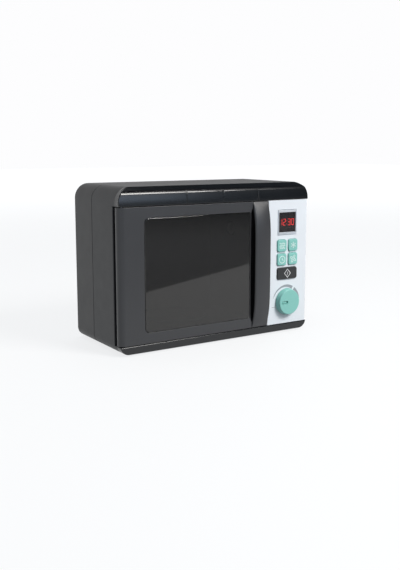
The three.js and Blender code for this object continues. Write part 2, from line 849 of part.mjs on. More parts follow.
// A dark plate with raised digits that show a time of day.
function displayDigits() {
  const [x, z] = bezelOpening(seam);
  const front = paneThickness + seam;
  const plateFront = front + digitRelief;
  const plate = block(x, [plateFront, plateFront + insertThickness], z);
  const relief = [front, plateFront + insertThickness / 2];
  const middle = (z[0] + z[1]) / 2;
  const pitch = digitWidth + digitGap;
  const bars = shownDigits.flatMap((digit, i) => {
    const fromMiddle = i - (shownDigits.length - 1) / 2;
    const colonRoom = (Math.sign(fromMiddle) * (digitStroke + digitGap)) / 2;
    const place = controlsX + fromMiddle * pitch + colonRoom;
    return digitBars[digit].map((name) => digitBar(name, place, middle, relief));
  });
  const dots = [-1, 1].map((side) => {
    const height = middle + (side * digitHeight) / 4;
    return block(about(controlsX, digitStroke), relief, about(height, digitStroke));
  });
  return joined([plate, ...bars, ...dots]);
}

// A key centred on its own origin: a rounded cap, a flange behind the panel and a stem.
function key(width, height) {
  const [x, z] = [about(0, width), about(0, height)];
  const back = flangeFront + keyFlangeDepth;
  const cap = slab(evenOutline(x, z, keyRadius), [-keyProud, back], keyEdge);
  const flange = block(grown(x, keyFlange), [flangeFront, back], grown(z, keyFlange));
  const stem = barY(0, [flangeFront, back + keyStem], 0, keyStemRadius, smallSides);
  return joined([cap, flange, stem]);
}

function circuitBoard() {
  const y = [boardDepth, boardDepth + boardThickness];
  const holes = boardPosts().map(([x, z]) =>
    barY(x, grown(y, overrun), z, boardPinRadius + seam, smallSides),
  );
  return cut(block(boardX, y, boardZ), holes);
}

// A push switch on the board, centred on its own origin. Its plunger stops short of a pressed key.
function boardSwitch() {
  const back = boardDepth - seam;
  const plunger = flangeFront + keyFlangeDepth + keyStem + keyTravel + seam;
  const body = block(about(0, switchSize), [back - switchBody, back], about(0, switchSize));
  return body.add(barY(0, [plunger, back - switchBody / 2], 0, switchPlungerRadius, smallSides));
}

// The dial, about its own axis, with the pointer slot on its left.
function timerDial() {
  const back = -dialGap;
  const front = back - dialReach;
  const rim = dialRadius - dialDraft;
  const sag = dialEdge * (1 - Math.SQRT1_2);
  const body = turned(
    [
      [0, front],
      [rim - dialEdge, front],
      [rim - sag, front + sag],
      [rim, front + dialEdge],
      [dialRadius, back],
      [0, back],
    ],
    fineSides,
  );
  const slot = evenOutline([-pointerEnd, -pointerStart], about(0, pointerWidth), pointerCorner);
  return cut(body, [
    slab(slot, [front - overrun, front + pointerDepth]),
    barY(0, [back - shaftInDial - seam, back + overrun], 0, shaftRadius + seam),
  ]);
}

// A toothed disc, about its own axis.
function ratchet(y) {
  const shape = new THREE.Shape();
  for (let i = 0; i < ratchetTeeth; i += 1) {
    const tip = (2 * Math.PI * i) / ratchetTeeth;
    const root = tip + Math.PI / ratchetTeeth;
    const draw = i === 0 ? "moveTo" : "lineTo";
    shape[draw](ratchetRadius * Math.cos(tip), ratchetRadius * Math.sin(tip));
    const inner = ratchetRadius - ratchetTooth;
    shape.lineTo(inner * Math.cos(root), inner * Math.sin(root));
  }
  return slab(shape, y);
}

function dialShaft() {
  const wheel = panelWall + guideLength + seam;
  const end = bulkheadBack + bearingBoss + shaftTail;
  const rod = barY(0, [-dialGap - shaftInDial, end], 0, shaftRadius);
  return rod.add(ratchet([wheel, wheel + ratchetThickness]));
}

// A leaf that clicks over the ratchet, on a foot that stands on the bearing wall.
function clickSpring() {
  const wheel = panelWall + guideLength + seam;
  const bumpTip = controlsX + ratchetRadius + seam;
  const leafX = [bumpTip + clickBump, bumpTip + clickBump + clickLeaf];
  const leafZ = about(dialZ, clickHeight);
  const foot = [leafZ[0], leafZ[0] + clickFootHeight];
  const y = [wheel, bulkheadFront - seam];
  return joined([
    block(leafX, [wheel, wheel + ratchetThickness], leafZ),
    barY(leafX[0], [wheel, wheel + ratchetThickness], dialZ, clickBump, smallSides),
    block([leafX[0], leafX[0] + clickFoot], y, foot),
  ]);
}

// The speaker, about its own axis, with its face at the back.
function speaker() {
  return turned([
    [0, -speakerDepth],
    [speakerMagnetRadius, -speakerDepth],
    [speakerMagnetRadius, speakerMagnet - speakerDepth],
    [speakerRadius - speakerRim, -speakerRim],
    [speakerRadius, -speakerRim],
    [speakerRadius, 0],
    [speakerRadius - speakerRim, 0],
    [speakerMagnetRadius / 2, -speakerRim],
    [0, -speakerRim / 2],
  ]);
}

// A dry cell lying along X about its own middle, with its nub at the right.
function cell() {
  const body = barX(about(0, cellLength), 0, 0, cellRadius);
  return body.add(barX([0, cellLength / 2 + cellNub], 0, 0, cellNubRadius, smallSides));
}

// A contact plate across one or two cells, with a tapered spring for each cell.
function batteryContact(wall, towards, cellZs, tip) {
  const plateX = [wall + towards * seam, wall + towards * (seam + contactThickness)];
  const z = [cellZs[0] - cellRadius + contactMargin, cellZs.at(-1) + cellRadius - contactMargin];
  const length = Math.abs(tip - plateX[1]) + contactThickness / 2;
  const springs = cellZs.map((cellZ) => {
    const spring = new THREE.CylinderGeometry(contactTipRadius, contactBaseRadius, length, smallSides);
    spring.rotateZ((-towards * Math.PI) / 2);
    return solidOf(spring.translate(tip - (towards * length) / 2, cellsY, cellZ));
  });
  const y = about(cellsY, 2 * (cellRadius - contactMargin));
  const ordered = towards > 0 ? plateX : [plateX[1], plateX[0]];
  return joined([block(ordered, y, z), ...springs]);
}

// The cover of the battery compartment, with a countersunk hole for its screw.
function batteryHatch() {
  const y = [shellDepth - hatchThickness, shellDepth];
  const plate = slab(evenOutline(hatchX, hatchZ, hatchRadius), y);
  const sink = [shellDepth - screwHead / 2, shellDepth + overrun];
  const grip = block(
    about(cellsX, hatchGripWidth),
    [shellDepth - hatchThickness / 2, shellDepth + overrun],
    about(hatchZ[1] - hatchRim, hatchGripHeight),
  );
  return cut(plate, [
    barY(hatchScrewX, grown(y, overrun), bayRise, screwRadius + seam, smallSides),
    barY(hatchScrewX, sink, bayRise, screwHeadRadius + seam),
    grip,
  ]);
}

// A screw whose head faces the way of +Y, with the underside of its head at its own origin.
function screw(length) {
  const head = barY(0, [0, screwHead], 0, screwHeadRadius, smallSides);
  const shank = barY(0, [-length, screwHead / 2], 0, screwRadius, smallSides);
  const slotY = [screwHead - screwSlotDepth, screwHead + overrun];
  const reach = about(0, screwSlotLength);
  const across = about(0, screwSlot);
  return cut(head.add(shank), [block(reach, slotY, across), block(across, slotY, reach)]);
}

// A flat-headed screw for the hatch, flush with the back.
function hatchScrew() {
  const head = barY(0, [0, screwHead / 2 - seam], 0, screwHeadRadius, smallSides);
  const shank = barY(0, [-hatchScrewLength + screwHead, screwHead / 4], 0, screwRadius, smallSides);
  return head.add(shank);
}

function turntablePlate() {
  const floor = seam + hubHeight + seam;
  const face = floor + turntableThickness;
  const rimFoot = turntableRadius - turntableRimWidth;
  const ringAt = (radius) => [
    [radius - turntableRingWidth / 2, face],
    [radius, face + turntableRing],
    [radius + turntableRingWidth / 2, face],
  ];
  return turnedUp(
    [
      [0, face],
      ...ringAt(turntableRadius / 3),
      ...ringAt((2 * turntableRadius) / 3),
      [rimFoot - turntableRimWidth, face],
      [rimFoot, floor + turntableRim],
      [turntableRadius, floor + turntableRim],
      [turntableRadius, floor + turntableRim - turntableThickness / 2],
      [rimFoot - turntableRimWidth, floor],
      [0, floor],
    ].reverse(),
    fineSides,
  );
}

function turntableHub() {
  const z = [seam, seam + hubHeight];
  return barZ(0, 0, z, hubRadius).subtract(barZ(0, 0, grown(z, overrun), spindleRadius + seam));
}

// The fixed pin that the turntable turns on, with a flange under the cavity's floor.
function turntableSpindle() {
  const underFloor = -cavityWall - seam;
  const flange = barZ(0, 0, [underFloor - spindleFlangeHeight, underFloor], spindleFlange);
  return flange.add(barZ(0, 0, [underFloor - spindleFlangeHeight / 2, hubHeight], spindleRadius));
}

// The lens in the cavity's side wall, with a lip inside the cabinet.
function lampLens() {
  const wall = [cavityX[1], cavityX[1] + cavityWall];
  const disc = barX([wall[0] - lensProud, wall[1] + seam + lensFlange], lensY, lensZ, lensRadius);
  const lip = [wall[1] + seam, wall[1] + seam + lensFlange];
  return disc.add(barX(lip, lensY, lensZ, lensRadius + lensLip));
}

function lampLed() {
  const front = cavityX[1] + cavityWall + lensFlange + 2 * seam;
  const body = barX([front, front + ledLength], lensY, lensZ, ledRadius, smallSides);
  const rim = [front + ledLength - ledRim, front + ledLength];
  return body.add(barX(rim, lensY, lensZ, ledRadius + ledRim, smallSides));
}

// The outside of the door: a frame whose left edge is a half round about the hinge.
function doorFrame() {
  const round = doorThickness / 2;
  const plan = new THREE.Shape();
  plan.moveTo(doorRight, 0);
  plan.lineTo(doorRight, doorThickness);
  plan.lineTo(hingeX, doorThickness);
  plan.absarc(hingeX, hingeY, round, Math.PI / 2, (3 * Math.PI) / 2, false);
  const hollowX = [doorLeft + hingeColumn, windowX[1] + seam];
  const hollowZ = grown([doorBottom, doorTop], -doorSkin);
  const back = doorThickness + overrun;
  const coreX = [pocketX[0], doorRight - doorSkin];
  const latchRoom = [pocketDepth + coreWall, back];
  const stepX = [handleLeft - seam, doorRight + overrun];
  const pocket = outline(pocketX, pocketZ, { bottomLeft: pocketRadius, topLeft: pocketRadius });
  const bores = handleScrewPlaces().map(([x, z]) =>
    barY(x, [cutFront, back], z, screwRadius + seam, smallSides),
  );
  return cut(column(plan, [doorBottom, doorTop], 2 * broadSteps), [
    slab(windowOutline(0), [cutFront, doorSkin + overrun]),
    slab(windowOutline(windowLedge + seam, -seam), [windowSeat, doorSkin + overrun]),
    block(hollowX, [doorSkin, back], hollowZ),
    block(coreX, latchRoom, hollowZ),
    block([hollowX[0], coreX[1]], [doorThickness - backWall - seam, back], hollowZ),
    block(stepX, [cutFront, handleSeat], grown([doorBottom, doorTop], overrun)),
    slab(pocket, [cutFront, pocketDepth]),
    barZ(hingeX, hingeY, [doorTop - pinInDoor - seam, doorTop + overrun], pinRadius + seam),
    barZ(hingeX, hingeY, [doorBottom - overrun, doorBottom + pinInDoor + seam], pinRadius + seam),
    ...bores,
  ]);
}

function windowOutline(spread, spreadRight = spread) {
  return outline([windowX[0] - spread, windowX[1] + spreadRight], grown(windowZ, spread), {
    bottomLeft: windowRadius + spread,
    topLeft: windowRadius + spread,
    bottomRight: windowRightRadius + spread,
    topRight: windowRightRadius + spread,
  });
}

// The pane: a rim held behind the frame's ledge, and a middle that stands out through the frame.
// It has no rim on the right, where the finger pocket's wall holds it.
function doorWindow() {
  const rimFront = windowSeat + seam;
  const rim = slab(windowOutline(windowLedge, -2 * seam), [rimFront, rimFront + windowThickness]);
  const middle = [-windowProud, rimFront + windowThickness / 2];
  return rim.add(slab(windowOutline(-seam), middle, windowEdge));
}

// The inner frame: a plate across the door's back and a wall that holds the pane.
function doorBack() {
  const x = [doorLeft + hingeColumn + seam, doorRight - doorSkin - seam];
  const z = grown([doorBottom, doorTop], -doorSkin - seam);
  const plate = block(x, [doorThickness - backWall, doorThickness], z);
  const paneBack = windowSeat + windowThickness + 2 * seam;
  const ringX = [windowX[0] - windowLedge, windowX[1] - seam];
  const ringZ = grown(windowZ, windowLedge);
  const ring = block(ringX, [paneBack, doorThickness - backWall / 2], ringZ);
  const wall = windowLedge / 2;
  const through = grown([paneBack, doorThickness], overrun);
  const opening = block([ringX[0] + wall, ringX[1] - wall], through, grown(windowZ, wall));
  const slot = block(grown(latchX, seam), through, grown(about(doorMiddle, latchHeight), seam));
  return cut(plate.add(ring), [opening, slot]);
}

// The tongue that enters the catch, held by a foot in front of the door's inner frame.
function doorLatch() {
  const plateFront = doorThickness - backWall - seam;
  const z = about(doorMiddle, latchHeight);
  const tongue = block(latchX, [plateFront - latchFootDepth, doorThickness + latchReach], z);
  const footX = [latchX[0] - latchFoot, latchX[1]];
  return tongue.add(block(footX, [plateFront - latchFootDepth, plateFront], grown(z, latchFoot)));
}

// The catch behind the front housing: two cheeks and a back.
function latchCatch() {
  const front = bulkheadBack + seam;
  const tongueEnd = doorThickness + latchReach;
  const inside = [latchX[0] - seam, latchX[1] + latchSwing + seam];
  const z = about(doorMiddle, catchHeight);
  const body = block(grown(inside, catchWall), [front, tongueEnd + seam + catchWall], z);
  return body.subtract(block(inside, [front - overrun, tongueEnd + seam], grown(z, overrun)));
}

function doorSwitch() {
  const middle = (latchX[0] + latchX[1]) / 2;
  const z = doorMiddle + doorSwitchRise;
  const front = bulkheadBack + seam;
  const depth = [front, front + doorSwitchDepth];
  const body = block(about(middle, doorSwitchWidth), depth, about(z, doorSwitchHeight));
  const plunger = [doorThickness + seam, front + doorSwitchDepth / 2];
  return body.add(barY(middle, plunger, z, doorSwitchPlunger, smallSides));
}

function handleScrewPlaces() {
  const x = pocketX[1] - handlePostGap - handlePostRadius;
  return grown([doorBottom, doorTop], -handleScrewInset).map((z) => [x, z]);
}

// How far the handle stands proud at a height: a flat arch from end to end.
function handleReach(z) {
  const share = Math.abs(z - doorMiddle) / (doorTop - doorMiddle);
  return handleMiddleReach * (1 - share ** handleArchPower);
}

// The side view of the handle, or of the space behind its front wall.
function handleSide(z, wall, back) {
  const points = Array.from({ length: handleSteps + 1 }, (_, i) => {
    const share = (1 - Math.cos((Math.PI * i) / handleSteps)) / 2;
    const height = z[0] + (z[1] - z[0]) * share;
    return [wall - handleReach(height), height];
  });
  return polygon([[back, z[0]], ...points, [back, z[1]]].reverse());
}

// The handle: an arched bar whose ends lie flush in the door's step, open on the left for the
// fingers. The screws enter two posts that stand on the floor of the finger pocket.
function doorHandle() {
  const x = [handleLeft, doorRight];
  const z = [doorBottom, doorTop];
  const bar = beam(handleSide(z, 0, handleSeat - seam), x);
  const view = slab(evenOutline(x, z, handleRadius), [-handleMiddleReach - overrun, handleSeat]);
  const gripX = [handleLeft - overrun, doorRight - handleWall];
  const grip = beam(handleSide(pocketZ, handleWall, handleSeat + overrun), gripX);
  const posts = handleScrewPlaces().map(([sx, sz]) => {
    const length = [handleWall / 2 - handleReach(sz), pocketDepth - seam];
    return barY(sx, length, sz, handlePostRadius, smallSides);
  });
  const bores = handleScrewPlaces().map(([sx, sz]) =>
    barY(sx, [-handleScrewReach - seam, pocketDepth], sz, screwRadius + seam, smallSides),
  );
  return cut(joined([cut(bar.intersect(view), [grip]), ...posts]), bores);
}

function foot() {
  return barZ(0, 0, [0, base + footSeat - seam], footRadius);
}

// An insulated wire along a smooth curve through its points.
function lead(points) {
  const path = new THREE.CatmullRomCurve3(points.map((p) => new THREE.Vector3(...p)));
  const section = new THREE.Shape();
  section.absarc(0, 0, leadRadius, 0, 2 * Math.PI, false);
  const options = { steps: leadSteps, curveSegments: leadSides / 2, extrudePath: path };
  return solidOf(new THREE.ExtrudeGeometry(section, options));
}

// The three pairs of leads that meet the back of the board, one below the other.
function leads() {
  const end = boardDepth + boardThickness + seam;
  const meet = (step) => speakerRise - speakerRadius - step * leadPitch;
  const bayFront = bayY[0] - bayWall - seam;
  const speakerBack = rearInside - speakerDepth - 2 * seam;
  const ledBack = cavityX[1] + cavityWall + lensFlange + 3 * seam + ledLength;
  const halfway = (end + speakerBack) / 2;
  return [
    piece("speaker_lead", lead([
      [controlsX, speakerBack, speakerRise],
      [controlsX, halfway, speakerRise - speakerRadius / 2],
      [controlsX + leadPitch, bulkheadBack + leadPitch, meet(0)],
      [controlsX + leadPitch, end, meet(0)],
    ]), "redLead"),
    piece("lamp_lead", lead([
      [ledBack, lensY, lensZ],
      [ledBack + leadPitch, lensY, lensZ],
      [controlsX, bulkheadBack + leadPitch, meet(1)],
      [controlsX, end, meet(1)],
    ]), "greyLead"),
    piece("battery_lead", lead([
      [cellsX, bayFront, bayZ[1]],
      [cellsX, halfway, bayZ[1]],
      [controlsX - leadPitch, bulkheadBack + leadPitch, meet(2)],
      [controlsX - leadPitch, end, meet(2)],
    ]), "redLead"),
  ];
}

function cabinetGroup() {
  const group = new THREE.Group();
  const cellZs = [bayRise - cellRadius - cellRoom / 2, bayRise + cellRadius + cellRoom / 2];
  const tips = about(cellsX, cellLength + cellNub + 2 * cellRoom);
  group.add(
    piece("front_housing", frontHousing(), "glossBlack"),
    piece("rear_housing", rearHousing(), "satinBlack"),
    piece("cavity_liner", cavityLiner(), "satinBlack"),
    piece("control_panel", controlPanel(), "panelWhite"),
    piece("display_frame", displayFrame(), "chrome"),
    piece("display_window", displayWindow(), "smoke"),
    piece("display_digits", displayDigits(), "digitRed"),
    piece("circuit_board", circuitBoard(), "boardGreen"),
    piece("click_spring", clickSpring(), "steel"),
    piece("speaker", speaker(), "speakerPaper", [controlsX, rearInside - seam, speakerRise]),
    piece("lamp_lens", lampLens(), "lensFrost"),
    piece("lamp_led", lampLed(), "ledClear"),
    piece("latch_catch", latchCatch(), "whitePlastic"),
    piece("door_switch", doorSwitch(), "satinBlack"),
    piece("turntable_spindle", turntableSpindle(), "whitePlastic", [turntableX, turntableY, cavityZ[0]]),
    piece("battery_1", cell(), "cellJacket", [cellsX - cellNub / 2, cellsY, cellZs[0]]),
    piece("battery_contact_bridge", batteryContact(bayX[1], -1, cellZs, tips[1]), "steel"),
    piece("battery_contact_positive", batteryContact(bayX[0], 1, [cellZs[0]], tips[0]), "steel"),
    piece("battery_contact_negative", batteryContact(bayX[0], 1, [cellZs[1]], tips[0]), "steel"),
    ...leads(),
  );
  const second = piece("battery_2", cell(), "cellJacket", [cellsX + cellNub / 2, cellsY, cellZs[1]]);
  second.rotation.y = Math.PI;
  group.add(second);
  footPlaces.forEach(([x, y], i) => group.add(piece(`foot_${i + 1}`, foot(), "rubber", [x, y, 0])));
  const seat = partingDepth + 2 * seam + wellFloor;
  postPlaces.forEach(([x, z], i) =>
    group.add(piece(`housing_screw_${i + 1}`, screw(screwLength), "steel", [x, seat, z])),
  );
  [...keyPlaces, { name: "key_start", x: controlsX, z: startZ }].forEach(({ name, x, z }) =>
    group.add(piece(name.replace("key", "switch"), boardSwitch(), "satinBlack", [x, 0, z])),
  );
  return group;
}

function keyGroup() {
  const group = new THREE.Group();
  keyPlaces.forEach(({ name, x, z }) =>
    group.add(piece(name, key(keyWidth, keyHeight), "mint", [x, 0, z])),
  );
  group.add(piece("key_start", key(startWidth, startHeight), "keyGrey", [controlsX, 0, startZ]));
  return group;
}

function dialGroup() {
  const group = new THREE.Group();
  group.add(piece("timer_dial", timerDial(), "mint"), piece("dial_shaft", dialShaft(), "whitePlastic"));
  group.position.set(controlsX, 0, dialZ);
  return group;
}

function turntableGroup() {
  const group = new THREE.Group();
  group.add(
    piece("turntable_plate", turntablePlate(), "anthracite"),
    piece("turntable_hub", turntableHub(), "satinBlack"),
  );
  group.position.set(turntableX, turntableY, cavityZ[0]);
  return group;
}

function hatchGroup() {
  const group = new THREE.Group();
  const seat = shellDepth - screwHead / 2 + seam;
  group.add(
    piece("battery_hatch", batteryHatch(), "satinBlack"),
    piece("battery_hatch_screw", hatchScrew(), "steel", [hatchScrewX, seat, bayRise]),
  );
  return group;
}

function doorGroup() {
  const group = new THREE.Group();
  const pinLength = pinInDoor + doorGap + pinInCabinet;
  const pin = () => barZ(0, 0, [0, pinLength], pinRadius, smallSides);
  group.add(
    piece("door_frame", doorFrame(), "anthracite"),
    piece("door_window", doorWindow(), "smoke"),
    piece("door_back", doorBack(), "satinBlack"),
    piece("door_handle", doorHandle(), "anthracite"),
    piece("door_latch", doorLatch(), "whitePlastic"),
    piece("hinge_pin_top", pin(), "steel", [hingeX, hingeY, doorTop - pinInDoor]),
    piece("hinge_pin_bottom", pin(), "steel", [hingeX, hingeY, plinthTop - pinInCabinet]),
  );
  const seat = pocketDepth + coreWall + seam;
  handleScrewPlaces().forEach(([x, z], i) => {
    const name = `handle_screw_${i + 1}`;
    group.add(piece(name, screw(seat + handleScrewReach), "steel", [x, seat, z]));
  });
  return group;
}

// The whole toy, with the middle of its depth, handle included, at Y = 0
const toy = new THREE.Group();
toy.name = "toy_microwave";
toy.add(cabinetGroup(), keyGroup(), dialGroup(), turntableGroup(), hatchGroup(), doorGroup());
toy.position.y = (handleMiddleReach - shellDepth) / 2;

export default toy;
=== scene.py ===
import json
import math
from types import SimpleNamespace

import bmesh
import bpy
import numpy as np
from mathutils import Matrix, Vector
from mathutils.bvhtree import BVHTree


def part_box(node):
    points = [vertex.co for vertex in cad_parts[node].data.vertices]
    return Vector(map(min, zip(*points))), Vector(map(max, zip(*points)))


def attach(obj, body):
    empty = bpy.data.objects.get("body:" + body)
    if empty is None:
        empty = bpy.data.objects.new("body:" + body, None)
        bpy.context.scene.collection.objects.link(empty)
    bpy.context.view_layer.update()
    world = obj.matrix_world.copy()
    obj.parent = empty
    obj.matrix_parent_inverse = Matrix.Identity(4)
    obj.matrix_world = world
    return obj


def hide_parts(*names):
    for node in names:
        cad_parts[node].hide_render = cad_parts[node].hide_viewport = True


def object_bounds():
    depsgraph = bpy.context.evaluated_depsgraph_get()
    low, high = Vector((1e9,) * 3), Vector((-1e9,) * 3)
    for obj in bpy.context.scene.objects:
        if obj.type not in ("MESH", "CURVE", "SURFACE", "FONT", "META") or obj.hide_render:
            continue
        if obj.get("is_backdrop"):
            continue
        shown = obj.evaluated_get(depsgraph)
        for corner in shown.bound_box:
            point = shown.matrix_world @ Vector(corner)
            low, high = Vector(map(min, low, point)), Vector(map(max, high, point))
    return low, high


# The looks of a toy microwave oven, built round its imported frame. Lengths are in metres, unless a
# comment says millimetres. X runs to the right along the front, Y to the back and Z up, so a face
# that looks out of the front looks along -Y.
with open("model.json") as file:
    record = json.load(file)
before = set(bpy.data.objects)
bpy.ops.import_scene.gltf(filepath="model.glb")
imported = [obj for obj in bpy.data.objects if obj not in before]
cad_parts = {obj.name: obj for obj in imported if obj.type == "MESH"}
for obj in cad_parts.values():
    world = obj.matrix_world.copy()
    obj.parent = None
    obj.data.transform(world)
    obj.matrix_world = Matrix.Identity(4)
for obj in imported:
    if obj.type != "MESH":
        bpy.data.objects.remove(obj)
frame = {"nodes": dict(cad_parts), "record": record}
CAD_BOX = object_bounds()

MM = 0.001
QUARTER = np.pi / 2
RIM_TURNS = np.linspace(0, QUARTER, 7)  # over a rounded edge
CORNER_TURNS = np.linspace(0, QUARTER, 11)  # round a rounded corner
FACE_SHARES = (0.8, 0.6, 0.4, 0.2)  # rings between a face's rim and its middle
SHARP = math.radians(32)  # an edge that bends more than this stays crisp
POLE = 0.0002 * MM  # radius of a pole before its points are merged
MERGE = 0.0005 * MM  # points nearer than this become one


def lengths(**values):
    """Lengths by name, given in millimetres and kept in metres."""
    return SimpleNamespace(**{name: value * MM for name, value in values.items()})


def span(node):
    """The lowest and the highest corner of a CAD node, and its middle, as arrays."""
    low, high = np.array(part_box(node))
    return low, high, (low + high) / 2


FACE_Y = span("door_frame")[0][1]  # the plane of the door's and the panel's front


# Colour and nodes

NOISE, RANGE, MATH = "ShaderNodeTexNoise", "ShaderNodeMapRange", "ShaderNodeMath"
MIX, VECTOR_MATH = "ShaderNodeMix", "ShaderNodeVectorMath"
COLOURS, SMOOTH = {"data_type": "RGBA"}, {"interpolation_type": "SMOOTHSTEP"}
TIMES, TIMES_PLUS = {"operation": "MULTIPLY"}, {"operation": "MULTIPLY_ADD"}
# The numbers of a Mix node's colour sockets, whose names its other sockets have too
MIX_FIRST, MIX_SECOND, MIX_RESULT = 6, 7, 2


def linear(colour):
    """The linear colour of an sRGB hex value. A channel c becomes c / 12.92 where it is small, and
    ((c + 0.055) / 1.055) to the power 2.4 elsewhere."""
    channels = np.array([int(colour[i : i + 2], 16) for i in (1, 3, 5)]) / 255
    curved = ((channels + 0.055) / 1.055) ** 2.4
    return (*np.where(channels <= 0.04045, channels / 12.92, curved).tolist(), 1.0)


def feed(node, links):
    """Feeds a node's inputs, by name or number, from outputs or from nodes' first outputs."""
    for key, source in links.items():
        output = source if isinstance(source, bpy.types.NodeSocket) else source.outputs[0]
        node.id_data.links.new(output, node.inputs[key])


def add(tree, kind, settings, links):
    """Adds a node. settings gives values to its properties, and to its inputs by name or number.
    links feeds its inputs."""
    made = tree.nodes.new(kind)
    for key, value in settings.items():
        if str(key) in made.bl_rna.properties:
            setattr(made, key, value)
        else:
            made.inputs[key].default_value = value
    feed(made, links)
    return made


def per(size):
    """The scale of a noise whose grains are that many millimetres across."""
    return 1 / (size * MM)


def blank(name, colour, **shader_values):
    """A material with its shader's own sockets set, and the object coordinates for patterns."""
    material = bpy.data.materials.new(name)
    material.use_nodes = True
    tree = material.node_tree
    shader = tree.nodes["Principled BSDF"]
    shader.inputs["Base Color"].default_value = linear(colour)
    for key, value in shader_values.items():
        shader.inputs[key.replace("_", " ")].default_value = value
    place = add(tree, "ShaderNodeTexCoord", {}, {}).outputs["Object"]
    return material, tree, shader, place


def drift(tree, place, size, detail, least, most):
    """A value that drifts from least to most, in clouds that are size mm across."""
    cloud = add(tree, NOISE, {"Scale": per(size), "Detail": detail}, {"Vector": place})
    return add(tree, RANGE, {"To Min": least, "To Max": most}, {"Value": cloud})


def moulded(name, colour, roughness, grain, depth, waves=0.004, haze=0.04, IOR=1.53, **values):
    """A moulded plastic, ABS unless another IOR is given. Its height is a fine grain, grain mm
    across and depth mm deep, plus slow waves 9 mm long and waves mm deep that shrinkage leaves.
    Its roughness drifts by haze over 14 mm, as handling and mould release leave it, and its
    colour by 4% over 50 mm of melt flow."""
    material, tree, shader, place = blank(name, colour, IOR=IOR, **values)
    fine = add(tree, NOISE, {"Scale": per(grain), "Detail": 3.0}, {"Vector": place})
    slow = add(tree, NOISE, {"Scale": per(9), "Detail": 1.0}, {"Vector": place})
    grains = add(tree, MATH, TIMES | {1: depth * MM}, {0: fine})
    height = add(tree, MATH, TIMES_PLUS | {1: waves * MM}, {0: slow, 2: grains})
    flow = add(tree, NOISE, {"Scale": per(50), "Detail": 2.0}, {"Vector": place})
    full, less = np.array(linear(colour)), np.array([0.96, 0.96, 0.96, 1.0])
    tint = add(tree, MIX, COLOURS | {MIX_FIRST: full * less, MIX_SECOND: full / less}, {0: flow})
    bump = add(tree, "ShaderNodeBump", {"Distance": 1.0}, {"Height": height})
    rough = drift(tree, place, 14, 4.0, roughness - haze, roughness + haze)
    feed(shader, {"Normal": bump, "Roughness": rough, "Base Color": tint.outputs[MIX_RESULT]})
    return material


def polished(name, colour, size, detail, least, most, **values):
    """A smooth material with a film on it, in which the roughness drifts."""
    material, tree, shader, place = blank(name, colour, **values)
    feed(shader, {"Roughness": drift(tree, place, size, detail, least, most)})
    return material


# Finishes

# The header's band. From lean to grained_from, the lengths are behind the door's face.
BAND = lengths(
    bottom=182, top=199, bulge=0.55, lean=2, bulged_to=3.6, flat_from=4.4, polished_to=10.3,
    grained_from=10.9, grain_depth=0.035,
)
POLISHED_ROUGH, GRAINED_ROUGH, FILM_ROUGH = 0.17, 0.47, 0.08


def housing_abs():
    """Black ABS of the front housing. The mould is polished where it forms the header and the
    plinth's front, which mirror the room, and spark-eroded behind them, which leaves the sides and
    the top matt. At shares t from -1 to 1 of its height, the header's band bulges by
    bulge * (1 - t^2), so that what it mirrors darkens downwards."""
    material, tree, shader, place = blank("two_finish_black_abs", "#0d1014", IOR=1.53)
    axes = add(tree, "ShaderNodeSeparateXYZ", {}, {"Vector": place})
    ends = {"From Min": FACE_Y + BAND.polished_to, "From Max": FACE_Y + BAND.grained_from}
    grained = add(tree, RANGE, SMOOTH | ends, {"Value": axes.outputs["Y"]})
    ends = {"From Min": FACE_Y + BAND.flat_from, "From Max": FACE_Y + BAND.bulged_to}
    in_front = add(tree, RANGE, SMOOTH | ends, {"Value": axes.outputs["Y"]})
    ends = {"From Min": BAND.bottom, "From Max": BAND.top, "To Min": -1.0, "To Max": 1.0}
    share = add(tree, RANGE, ends, {"Value": axes.outputs["Z"]})
    square = add(tree, MATH, TIMES, {0: share, 1: share})
    hump = add(tree, MATH, TIMES_PLUS | {1: -BAND.bulge, 2: BAND.bulge}, {0: square})
    bulge = add(tree, MATH, TIMES, {0: hump, 1: in_front})
    grain = add(tree, NOISE, {"Scale": per(0.7), "Detail": 3.0}, {"Vector": place})
    depth = add(tree, MATH, TIMES | {1: BAND.grain_depth}, {0: grained})
    height = add(tree, MATH, TIMES_PLUS, {0: grain, 1: depth, 2: bulge})
    bump = add(tree, "ShaderNodeBump", {"Distance": 1.0}, {"Height": height})
    ends = {"To Min": POLISHED_ROUGH, "To Max": GRAINED_ROUGH}
    base = add(tree, RANGE, ends, {"Value": grained})
    film = add(tree, NOISE, {"Scale": per(14), "Detail": 4.0}, {"Vector": place})
    rough = add(tree, MATH, TIMES_PLUS | {1: FILM_ROUGH}, {0: film, 2: base})
    feed(shader, {"Normal": bump, "Roughness": rough})
    return material


def zinc_plate():
    """Bright zinc on drawn steel: clear, with the drawing's fine lines along X, 0.5 mm apart and
    12 mm long."""
    material, tree, shader, place = blank("zinc_plated_steel", "#b9bcc0", Metallic=1.0)
    drawn = add(tree, "ShaderNodeMapping", {"Scale": (0.5 / 12, 1, 1)}, {"Vector": place})
    feed(shader, {"Roughness": drift(tree, drawn.outputs[0], 0.5, 3.0, 0.2, 0.42)})
    return material


def solder_mask():
    """Green solder mask on glass-epoxy board, with copper tracks 1.5 mm apart showing under it."""
    material, tree, shader, place = blank("green_solder_mask", "#1f6b45", Roughness=0.35, IOR=1.5)
    waves = {"Scale": per(1.5) / (2 * np.pi), "Distortion": 3.0, "Detail": 1.0, "Detail Scale": 0.4}
    tracks = add(tree, "ShaderNodeTexWave", waves, {"Vector": place})
    ends = {MIX_FIRST: linear("#1b5f3d"), MIX_SECOND: linear("#2f8458")}
    tint = add(tree, MIX, COLOURS | ends, {0: tracks.outputs["Fac"]})
    feed(shader, {"Base Color": tint.outputs[MIX_RESULT]})
    return material


